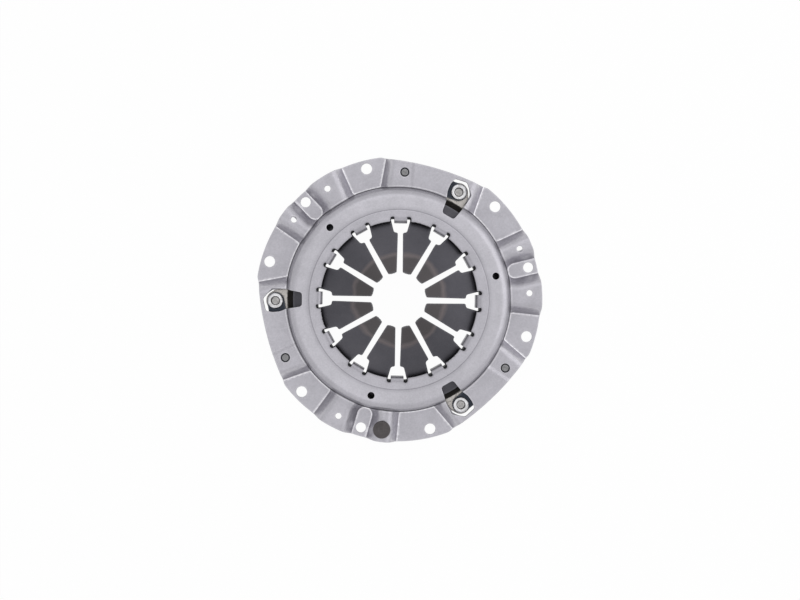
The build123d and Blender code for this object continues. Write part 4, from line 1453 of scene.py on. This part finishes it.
# ---------------------------------------------------------------- pressure plate
@dataclass
class PressurePlate:
    """The cast ring with its pressing ridge, and the lugs that the straps hold."""

    face_height: float
    crest_height: float
    outer_radius: float = 86.0
    thickness: float = 11.0
    facing_width: float = 20.0
    draft_run: float = 0.58
    ridge_radius: float = 83.2
    ridge_half: float = 1.8
    ridge_foot: float = 78.6
    corner_radii: tuple[float, ...] = (0.9, 0.5, 3.0, 1.7, 1.7, 2.2, 1.2)
    corner_steps: int = 6
    section_step: float = 0.8
    ground_height: float = 0.3
    gap_width: float = 8.0
    gap_floor: float = 14.5
    gap_run: float = 1.2
    lug_bottom: float = 2.0
    lug_top: float = 5.2
    lug_tip_radius: float = 7.9
    lug_base_angles: Point = (40.0, 55.0)
    lug_base_depth: float = 2.0
    lug_shoulder: float = 11.0
    lug_overlap: float = 1.2
    lug_ease: float = 0.4
    lug_ease_turns: tuple[float, ...] = (0.0, 30.0, 60.0, 90.0)
    lug_tip_sides: int = 48
    lug_step: float = 1.0
    milled_from: float = 90.6
    milled_run: float = 0.8
    segments: int = 720

    def section(self) -> Array:
        """Closed section of the ring, inner edge first, friction face down."""
        back = self.face_height + self.thickness
        bore = self.outer_radius - self.facing_width
        corners = [(bore, self.face_height), (self.outer_radius, self.face_height),
                   (self.outer_radius - self.draft_run, back),
                   (self.ridge_radius + self.ridge_half, self.crest_height),
                   (self.ridge_radius - self.ridge_half, self.crest_height),
                   (self.ridge_foot, back), (bore, back)]
        return spaced(rounded_loop(corners, self.corner_radii, self.corner_steps), self.section_step, True)

    def ring(self) -> Surface:
        """The ring, its ridge broken by gaps in line with the spring's fingers."""
        section = self.section()
        angles = np.arange(self.segments) * 360 / self.segments
        from_gap = np.mod(angles + FINGER_ANGLE / 2, FINGER_ANGLE) - FINGER_ANGLE / 2
        off_gap = np.abs(np.radians(from_gap)) * self.ridge_radius - self.gap_width / 2
        raised = smoothstep(off_gap / self.gap_run + 0.5)
        above = np.maximum(section[:, 1] - self.gap_floor, 0)
        heights = section[:, 1][:, None] - above[:, None] * (1 - raised)[None, :]
        plan = at_polar(section[:, :1], angles[None, :])
        rows = np.concatenate([plan, heights[..., None]], axis=2)
        made = Surface()
        made.grid(np.concatenate([rows, rows[:1]]), self.machined(section[:, 1], len(angles)), wrap=True)
        return made

    def machined(self, heights: Array, width: int) -> Array:
        """1 on the ground friction face and 0 on the cast skin, by section point and segment."""
        ground = (heights < self.face_height + self.ground_height).astype(float)
        return np.repeat(np.concatenate([ground, ground[:1]])[:, None], width, axis=1)

    def lug(self, rivet: Array) -> Surface:
        """One lug, milled flat on top, round its rivet and widening into the ring.

        Its floor and its top are the same flat mesh, and rows of points round its edge join them.
        """
        loop = spaced(self.lug_outline(rivet), self.lug_step, True)
        along = np.roll(loop, -1, axis=0) - np.roll(loop, 1, axis=0)
        outward = np.column_stack([along[:, 1], -along[:, 0]]) / np.hypot(*along.T)[:, None]
        turn = np.radians(self.lug_ease_turns)
        inset, rise = self.lug_ease * (1 - np.sin(turn)), self.lug_ease * (1 - np.cos(turn))
        insets = np.concatenate([inset, inset[::-1]])
        levels = np.concatenate([self.lug_bottom + rise, self.lug_top - rise[::-1]])
        rows = loop[None] - insets[:, None, None] * outward[None]
        across, up = (np.arange(start, stop, self.lug_step)
                      for start, stop in zip(loop.min(axis=0), loop.max(axis=0)))
        lattice = np.stack(np.meshgrid(across, up), axis=-1).reshape(-1, 2)
        plan, triangles = Skin(rows[0], []).fill(lattice, self.lug_step)
        made = Surface()
        made.add(np.column_stack([plan, np.full(len(plan), self.lug_bottom)]), triangles[:, ::-1])
        made.add(np.column_stack([plan, np.full(len(plan), self.lug_top)]), triangles, self.milled(plan))
        between = rows[1:-1].reshape(-1, 2)
        heights = np.repeat(levels[1:-1], len(loop))
        on_top = heights > self.lug_top - self.lug_ease - HAIR
        made.add(np.column_stack([between, heights]), [], self.milled(between) * on_top)
        starts = [0, *(2 * len(plan) + len(loop) * row for row in range(len(levels) - 2)), len(plan)]
        for lower, upper in zip(starts, starts[1:]):
            for here in range(len(loop)):
                beside = (here + 1) % len(loop)
                made.faces.append([lower + here, lower + beside, upper + beside, upper + here])
        return made

    def lug_outline(self, rivet: Array) -> Array:
        """The lug's plan: the hull of its round tip and its corners in the ring."""
        low, high = self.lug_base_angles
        both = np.array([low, high])
        return convex_hull(np.vstack([
            circle(rivet, self.lug_tip_radius, self.lug_tip_sides),
            at_polar(self.outer_radius - self.lug_base_depth, both),
            at_polar(self.outer_radius + self.lug_shoulder, np.array([low])),
            at_polar(self.outer_radius + self.lug_overlap, both),
        ]))

    def milled(self, plan: Array) -> Array:
        """1 on the lugs' bright milled end and 0 near the ring, where the lug's near-black tone is cast skin
        and painted shade under the cover's wall.
        """
        return smoothstep((np.hypot(plan[:, 0], plan[:, 1]) - self.milled_from) / self.milled_run)

    def build(self, copies: PolarCopies, rivet: Array, finish: bpy.types.Material,
              lug_finish: bpy.types.Material) -> list[bpy.types.Object]:
        """The ring and its three lugs."""
        ring = self.ring().build("pressure_ring")
        ring.data.materials.append(finish)
        lugs = copies.apply(self.lug(rivet).build("drive_lugs"), SECTORS, lug_finish)
        lugs.modifiers.new("even_shading", "WEIGHTED_NORMAL")
        return [ring, lugs]


def convex_hull(points: Array) -> Array:
    """The points on the hull, anticlockwise."""
    ordered = sorted(map(tuple, points))

    def chain(walk: Sequence[Point]) -> list[Point]:
        """One side of the hull."""
        kept: list[Point] = []
        for point in walk:
            while len(kept) > 1 and cross(kept[-2], kept[-1], point) <= 0:
                kept.pop()
            kept.append(point)
        return kept[:-1]

    return np.array(chain(ordered) + chain(ordered[::-1]))


def cross(first: Point, second: Point, third: Point) -> float:
    """Positive where three points turn anticlockwise."""
    return ((second[0] - first[0]) * (third[1] - first[1])
            - (second[1] - first[1]) * (third[0] - first[0]))


# ---------------------------------------------------------------- drive straps
@dataclass
class DriveStrap:
    """One leaf of a strap pack, meshed at its middle, flat on the lug and bent up to the cover."""

    lug_end: Array
    cover_end: Array
    low: float
    high: float
    thickness: float = 0.7
    width: float = 14.0
    clamp: float = 8.0
    lug_hole: float = 8.2
    cover_hole: float = 6.0
    mesh_step: float = 1.1
    clearance: float = 0.5
    end_points: int = 33
    lug_hole_sides: int = 36
    cover_hole_sides: int = 30
    lines_across: int = 11
    wear_width: float = 0.5
    edge_ease: float = 0.12

    def sheet(self) -> Surface:
        """The leaf's middle: round ends, a hole at each, flat under both clamps and bent between."""
        run = self.cover_end - self.lug_end
        length = float(np.linalg.norm(run))
        along = run / length
        side = np.array([-along[1], along[0]])
        half = self.width / 2
        far = np.array([length, 0.0])
        outline = np.vstack([at_polar(half, np.linspace(90, 270, self.end_points)),
                             far + at_polar(half, np.linspace(-90, 90, self.end_points))])
        holes = [circle(np.zeros(2), self.lug_hole / 2, self.lug_hole_sides),
                 circle(far, self.cover_hole / 2, self.cover_hole_sides)]
        rows = np.arange(-half, length + half, self.mesh_step)
        columns = np.linspace(-half, half, self.lines_across)[1:-1]
        lattice = np.stack(np.meshgrid(rows, columns), axis=-1).reshape(-1, 2)
        skin = Skin(spaced(outline, self.mesh_step, True), holes)
        plan, triangles = skin.fill(lattice, self.clearance)
        share = smoothstep((plan[:, 0] - self.clamp) / (length - 2 * self.clamp))
        height = self.low + (self.high - self.low) * share
        place = self.lug_end + plan[:, :1] * along + plan[:, 1:] * side
        made = Surface()
        made.add(np.column_stack([place, height]), triangles,
                 ridge_of(distance_to(plan, outline, True), self.wear_width))
        return made

    def build(self, name: str, finish: bpy.types.Material) -> bpy.types.Object:
        """The leaf, bending between the cover and the plate."""
        leaf = self.sheet().build(name)
        leaf.data.materials.append(finish)
        thicken(leaf, self.thickness, 0.0)
        ease(leaf, self.edge_ease)
        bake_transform(leaf)
        return leaf


# ---------------------------------------------------------------- rivets and weight
@dataclass(frozen=True)
class TurnedFastener:
    """A round fastener, turned from its section and repeated round the axis.

    A corner is its distance from the fastener's axis, its height above the foot or its depth below the
    top, and the radius it is rounded to.  bright is where the polished ring starts and ends.
    """

    name: str
    foot_corners: tuple[Corner, ...]
    top_corners: tuple[Corner, ...]
    bright: Point = (0.0, 0.0)
    segments: int = 64
    step: float = 0.35
    past_axis: float = 8.0
    axis_radius: float = 0.001
    turn_wear: float = 0.5

    def section(self, foot: float, top: float) -> Array:
        """Radius and height of each point, from the axis at the foot round to the axis at the top."""
        corners = [(radius, foot + rise) for radius, rise, _ in self.foot_corners]
        corners.extend((radius, top - drop) for radius, drop, _ in self.top_corners)
        rounding = [corner[-1] for corner in (*self.foot_corners, *self.top_corners)]
        path = rounded_loop([*corners, (-self.past_axis, foot)], [*rounding, 0.0])[:-1]
        section = spaced(path, self.step, False)
        section[[0, -1], 0] = self.axis_radius
        return section

    def build(self, copies: PolarCopies, centre: Array, span: Point, count: int,
              finish: bpy.types.Material) -> bpy.types.Object:
        """The fasteners as one mesh.

        Args:
            copies: the tree that repeats them.
            centre: plan position of the first.
            span: heights of their foot and their top.
            count: how many stand round the axis.
            finish: their material.

        Returns:
            The finished object.
        """
        section = self.section(*span)
        turn_rate = np.abs(np.gradient(np.unwrap(np.arctan2(*np.gradient(section, axis=0).T))))
        inner, outer = self.bright
        polished = (section[:, 0] > inner) & (section[:, 0] < outer)
        wear_and_sheen = np.clip(np.maximum(turn_rate * self.turn_wear, polished), 0, 1)
        made = turned(section, wear_and_sheen, self.segments)
        made.points = [points + np.array([*centre, 0.0]) for points in made.points]
        return copies.apply(made.build(self.name), count, finish)


LUG_RIVET = TurnedFastener(
    "lug_rivets",
    foot_corners=((0.0, 0.0, 0.0), (5.5, 0.0, 0.7), (5.5, 1.4, 0.2), (4.0, 1.4, 0.0)),
    top_corners=((4.0, 1.9, 0.0), (6.4, 1.9, 0.5), (6.4, 0.0, 1.0), (3.8, 0.0, 1.0), (2.9, 1.3, 1.0),
                 (0.0, 1.3, 0.0)),
    bright=(3.9, 6.6))
STRAP_RIVET = TurnedFastener(
    "strap_rivets",
    foot_corners=((0.0, 0.0, 0.0), (5.2, 0.0, 0.9), (5.2, 1.8, 0.2), (2.9, 1.8, 0.0)),
    top_corners=((2.9, 0.1, 0.35), (0.0, 0.0, 0.0)))
BALANCE_DISC = TurnedFastener(
    "balance_disc",
    foot_corners=((0.0, 0.0, 0.0), (2.8, 0.0, 0.2), (2.8, 0.5, 0.0), (2.45, 0.5, 0.0)),
    top_corners=((2.45, 2.6, 0.0), (7.15, 2.6, 0.2), (7.15, 0.0, 0.6), (2.6, 0.0, 0.2), (2.3, 0.25, 0.2),
                 (0.0, 0.15, 0.0)))


# ---------------------------------------------------------------- room, light and camera
@dataclass(frozen=True)
class Softbox:
    """A square soft lamp aimed at the cover.

    Its angle runs round the picture from its right and its elevation up from the floor, in degrees.  Its
    size and its distance from the cover are metres, and its power is watts.
    """

    name: str
    angle: float
    elevation: float
    size: float
    power: float
    distance: float = 1.1

    def build(self, roll: float) -> None:
        """Hangs the lamp, for a picture rolled by an angle in degrees."""
        data = bpy.data.lights.new(self.name, "AREA")
        data.shape = "SQUARE"
        data.size = self.size
        data.energy = self.power
        made = new_object(self.name, data)
        plan = at_polar(cos(radians(self.elevation)), self.angle - roll)
        place = Vector((*plan, sin(radians(self.elevation)))) * self.distance
        made.location = place
        made.rotation_euler = place.to_track_quat("Z", "Y").to_euler()


@dataclass
class Studio:
    """Pale floor, soft light and the camera that looks down on the cover.

    The camera's distance and the floor's sizes are metres, plan_scale is millimetres of the plan to a
    pixel, and lean is how far the camera stands off the axis to the right and up, in millimetres.
    """

    distance: float = 1.0
    plan_scale: float = 0.8234
    frame_width: int = 800
    frame_height: int = 600
    sensor: float = 36.0
    roll: float = 13.7
    lean: Point = (-16.0, 16.4)
    centre_pixel: Point = (398.33, 299.11)
    floor_half: float = 3.0
    floor_gap: float = 0.0003
    floor_white: float = 0.975
    paper_tone: Colour = (0.86, 0.86, 0.86)
    world_strength: float = 0.62
    world_seen: float = 1.0
    softboxes: tuple[Softbox, ...] = (
        Softbox("right_softbox", 12.0, 34.0, size=1.2, power=3.3),
        Softbox("left_softbox", 235.0, 60.0, size=0.7, power=0.6),
        Softbox("top_softbox", 95.0, 56.0, size=0.7, power=0.8))

    def across(self) -> Array:
        """Direction of the picture's right in the row frame."""
        return at_polar(1.0, -self.roll)

    def up(self) -> Array:
        """Direction of the picture's top in the row frame."""
        return at_polar(1.0, 90 - self.roll)

    def camera(self) -> None:
        """Camera about a metre over the flange, a little off the axis, aimed to centre the cover."""
        data = bpy.data.cameras.new("camera")
        data.sensor_width = self.sensor
        data.lens = self.sensor * self.distance / (self.frame_width * self.plan_scale * MM)
        eye = new_object("camera", data)
        right, up = (np.append(v, 0.0) for v in (self.across(), self.up()))
        place = (right * self.lean[0] + up * self.lean[1]) * MM
        place[2] = self.distance
        shift_right = (self.frame_width / 2 - self.centre_pixel[0]) * self.plan_scale * MM
        shift_up = (self.centre_pixel[1] - self.frame_height / 2) * self.plan_scale * MM
        target = right * shift_right + up * shift_up
        back = place - target
        back /= np.linalg.norm(back)
        side = np.cross(up, back)
        side /= np.linalg.norm(side)
        top = np.cross(back, side)
        eye.matrix_world = Matrix(np.column_stack([side, top, back, place]).tolist() + [[0, 0, 0, 1]])
        bpy.context.scene.camera = eye

    def floor(self) -> None:
        """A wide pale floor that shows as the plain background and still takes a faint shadow.

        It is clear from below, so that the underside can be looked at.
        """
        half, low = self.floor_half, -self.floor_gap
        corners = [(-half, -half, low), (half, -half, low), (half, half, low), (-half, half, low)]
        mesh = bpy.data.meshes.new("floor")
        mesh.from_pydata(corners, [], [(0, 1, 2, 3)])
        material = bpy.data.materials.new("pale_floor")
        sketch = NodeSketch.on(material)
        share = sketch.math("MULTIPLY", self.background_rays(sketch), self.floor_white)
        paper = sketch.add("ShaderNodeBsdfDiffuse", {"Color": rgba(self.paper_tone)})
        white = sketch.add("ShaderNodeEmission", {"Color": (1, 1, 1, 1), "Strength": 1.0})
        mix = sketch.add("ShaderNodeMixShader", {0: share, 1: paper.outputs[0], 2: white.outputs[0]})
        behind = sketch.add("ShaderNodeNewGeometry").outputs["Backfacing"]
        clear = sketch.add("ShaderNodeBsdfTransparent")
        shown = sketch.add("ShaderNodeMixShader", {0: behind, 1: mix.outputs[0], 2: clear.outputs[0]})
        sketch.add("ShaderNodeOutputMaterial", {"Surface": shown.outputs[0]})
        mesh.materials.append(material)
        new_object("floor", mesh)

    @staticmethod
    def background_rays(sketch: NodeSketch) -> bpy.types.NodeSocket:
        """1 for rays that come from the camera, straight or by way of gloss or glass."""
        rays = sketch.add("ShaderNodeLightPath")
        seen = sketch.math("MAXIMUM", rays.outputs["Is Camera Ray"], rays.outputs["Is Glossy Ray"])
        return sketch.math("MAXIMUM", seen, rays.outputs["Is Transmission Ray"])

    def world(self) -> None:
        """White surroundings, dimmer as a source of soft light than as a background."""
        world = bpy.data.worlds.new("studio")
        bpy.context.scene.world = world
        sketch = NodeSketch.on(world)
        seen = self.background_rays(sketch)
        strength = sketch.fit(seen, 0.0, 1.0, self.world_strength, self.world_seen)
        glow = sketch.add("ShaderNodeBackground", {"Color": (1, 1, 1, 1), "Strength": strength})
        sketch.add("ShaderNodeOutputWorld", {"Surface": glow.outputs[0]})

    def build(self) -> None:
        """The whole setting."""
        self.camera()
        self.floor()
        self.world()
        for softbox in self.softboxes:
            softbox.build(self.roll)


# ---------------------------------------------------------------- the assembly
# The cover's edge_tone also colours its painted highlights and sheen.
COVER_FINISH = MetalFinish("satin_pressed_steel", (0.39, 0.382, 0.415), (0.44, 0.43, 0.468),
                           (0.82, 0.81, 0.84), roughness=0.4, cloud=70.0, mottle=0.1, edge_amount=1.0)
SPRING_FINISH = HeatTintedFinish("tempered_spring_steel", (0.062, 0.061, 0.07), (0.078, 0.076, 0.086),
                                 (0.16, 0.16, 0.18), roughness=0.38, cloud=40.0, edge_amount=0.4)
# The wire's near-black tone paints the shade that the pivot rings sit in under the cover.
WIRE_FINISH = MetalFinish("drawn_wire", (0.018, 0.018, 0.02), (0.03, 0.03, 0.032), (0.1, 0.1, 0.11),
                          roughness=0.4)
CAST_FINISH = TurnedFinish("ground_cast_iron", (0.033, 0.032, 0.034), (0.05, 0.048, 0.05),
                           (0.4, 0.392, 0.385), roughness=0.5, grain=1500.0, bump=0.35,
                           bump_depth=0.00012, edge_amount=2.3)
# The lug's near-black tone is its cast skin darkened further with painted shade from the cover's wall; its
# edge_tone is the milled end.
LUG_FINISH = MetalFinish("milled_lug", (0.014, 0.013, 0.0125), (0.024, 0.022, 0.021), (0.5, 0.475, 0.455),
                         roughness=0.45, bump=0.2, edge_amount=1.5)
STRAP_FINISH = MetalFinish("blued_strip", (0.03, 0.035, 0.047), (0.045, 0.049, 0.06), (0.13, 0.14, 0.16),
                           roughness=0.33, scratch_density=0.6)
RIVET_FINISH = MetalFinish("bright_rivet", (0.26, 0.255, 0.25), (0.42, 0.41, 0.41), (0.74, 0.74, 0.76),
                           roughness=0.32, edge_amount=1.0, cloud=500.0, mottle=0.16)
DULL_RIVET_FINISH = MetalFinish("dull_rivet", (0.16, 0.16, 0.165), (0.27, 0.268, 0.275), (0.36, 0.36, 0.37),
                                roughness=0.45, cloud=500.0)
WEIGHT_FINISH = MetalFinish("phosphated_disc", (0.07, 0.064, 0.066), (0.1, 0.092, 0.093),
                            (0.2, 0.19, 0.19), roughness=0.55, cloud=260.0, metallic=0.8)


@dataclass
class CoverAssembly:
    """Builds every piece on the frame's sizes and hands each, but the strap leaves, to its body."""

    frame: dict[str, Any]

    def __post_init__(self) -> None:
        """Makes what the pieces share."""
        self.copies = PolarCopies()
        self.groups = FinishGroups()

    @staticmethod
    def middle_of(node: str) -> Array:
        """Plan position of a CAD node's centre, in millimetres."""
        low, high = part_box(node)
        return np.array((low + high)[:2]) / 2 / MM

    @staticmethod
    def span_of(node: str) -> tuple[float, float, float]:
        """Outer radius, lowest and highest point of a round CAD node, in millimetres."""
        low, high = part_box(node)
        return high.x / MM, low.z / MM, high.z / MM

    def settle(self, piece: bpy.types.Object, body: Body, slot: Slot, nodes: Sequence[str]) -> None:
        """Gives a finished piece its body and hides the nodes it stands for."""
        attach(piece, body.value)
        self.stand_in(piece, slot, nodes)

    @staticmethod
    def stand_in(piece: bpy.types.Object, slot: Slot, nodes: Sequence[str]) -> None:
        """Hides the CAD nodes that a piece stands for, and reports it."""
        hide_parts(*nodes)
        log.info("%s: %d faces for %s", piece.name, len(piece.data.polygons), ", ".join(nodes))

    def cover(self) -> None:
        """The pressed cover."""
        _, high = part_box("cover")
        piece = CoverPressing(radius=high.y / MM, height=high.z / MM).build(
            self.copies, COVER_FINISH.build(self.groups))
        self.settle(piece, Body.COVER, Slot.PRESSED_COVER, ["cover"])

    def spring(self) -> None:
        """The diaphragm spring."""
        rim, _, _ = self.span_of("diaphragm_spring")
        ring_outer, upper_low, upper_high = self.span_of("pivot_ring_upper")
        _, _, lower_high = self.span_of("pivot_ring_lower")
        wire = (upper_high - upper_low) / 2
        spring = DiaphragmSpring(rim_radius=rim, ring_radius=ring_outer - wire,
                                 middle_height=(upper_low + lower_high) / 2)
        piece = spring.build(self.copies, SPRING_FINISH.build(self.groups))
        self.settle(piece, Body.COVER, Slot.SPRING_STEEL, ["diaphragm_spring"])
        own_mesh(piece)

    def rings(self) -> None:
        """The two pivot rings keep their CAD shape and get a near-black wire finish that paints the shade
        they sit in.
        """
        finish = WIRE_FINISH.build(self.groups)
        for name in ("pivot_ring_upper", "pivot_ring_lower"):
            ring = self.frame["nodes"][name]
            ring.data.materials.clear()
            ring.data.materials.append(finish)
            log.info("%s: drawn wire", name)

    def plate(self) -> None:
        """The pressure plate and its lugs."""
        low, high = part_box("pressure_plate")
        plate = PressurePlate(face_height=low.z / MM, crest_height=high.z / MM)
        ring, lugs = plate.build(self.copies, self.middle_of("lug_rivet_1"),
                                 CAST_FINISH.build(self.groups), LUG_FINISH.build(self.groups))
        self.settle(ring, Body.PLATE, Slot.CAST_PLATE, ["pressure_plate"])
        self.settle(lugs, Body.PLATE, Slot.CAST_PLATE, ["pressure_plate"])

    def straps(self) -> None:
        """Three packs of three leaves."""
        finish = STRAP_FINISH.build(self.groups)
        for pack in range(1, SECTORS + 1):
            for leaf in ("lower", "middle", "upper"):
                node = f"drive_strap_{pack}_{leaf}"
                low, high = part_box(node)
                half = DriveStrap.thickness / 2
                strap = DriveStrap(self.middle_of(f"lug_rivet_{pack}"),
                                   self.middle_of(f"strap_rivet_{pack}"),
                                   low=low.z / MM + half, high=high.z / MM - half)
                self.stand_in(strap.build(f"strap_{pack}_{leaf}_leaf", finish), Slot.STRAP_STEEL, [node])

    def fasteners(self) -> None:
        """Lug rivets, strap rivets and the balance weight."""
        lug_nodes, strap_nodes = ([f"{kind}_rivet_{place}" for place in range(1, SECTORS + 1)]
                                  for kind in ("lug", "strap"))
        for fastener, nodes, body, slot, finish in (
                (LUG_RIVET, lug_nodes, Body.PLATE, Slot.RIVET_STEEL, RIVET_FINISH),
                (STRAP_RIVET, strap_nodes, Body.COVER, Slot.COVER_RIVET_STEEL, DULL_RIVET_FINISH),
                (BALANCE_DISC, ["balance_weight"], Body.COVER, Slot.WEIGHT_STEEL, WEIGHT_FINISH)):
            _, foot, top = self.span_of(nodes[0])
            piece = fastener.build(self.copies, self.middle_of(nodes[0]), (foot, top), len(nodes),
                                   finish.build(self.groups))
            self.settle(piece, body, slot, nodes)

    def build(self) -> None:
        """Every piece in order, outside first."""
        self.cover()
        self.spring()
        self.rings()
        self.plate()
        self.straps()
        self.fasteners()


def main() -> None:
    """Loads the frame, builds the pieces and sets the room."""
    logging.basicConfig(level=logging.INFO, format="%(name)s %(message)s")
    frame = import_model()
    CoverAssembly(frame).build()
    Studio().build()
    bpy.context.scene.view_settings.view_transform = "Standard"


if __name__ == "__main__":
    main()
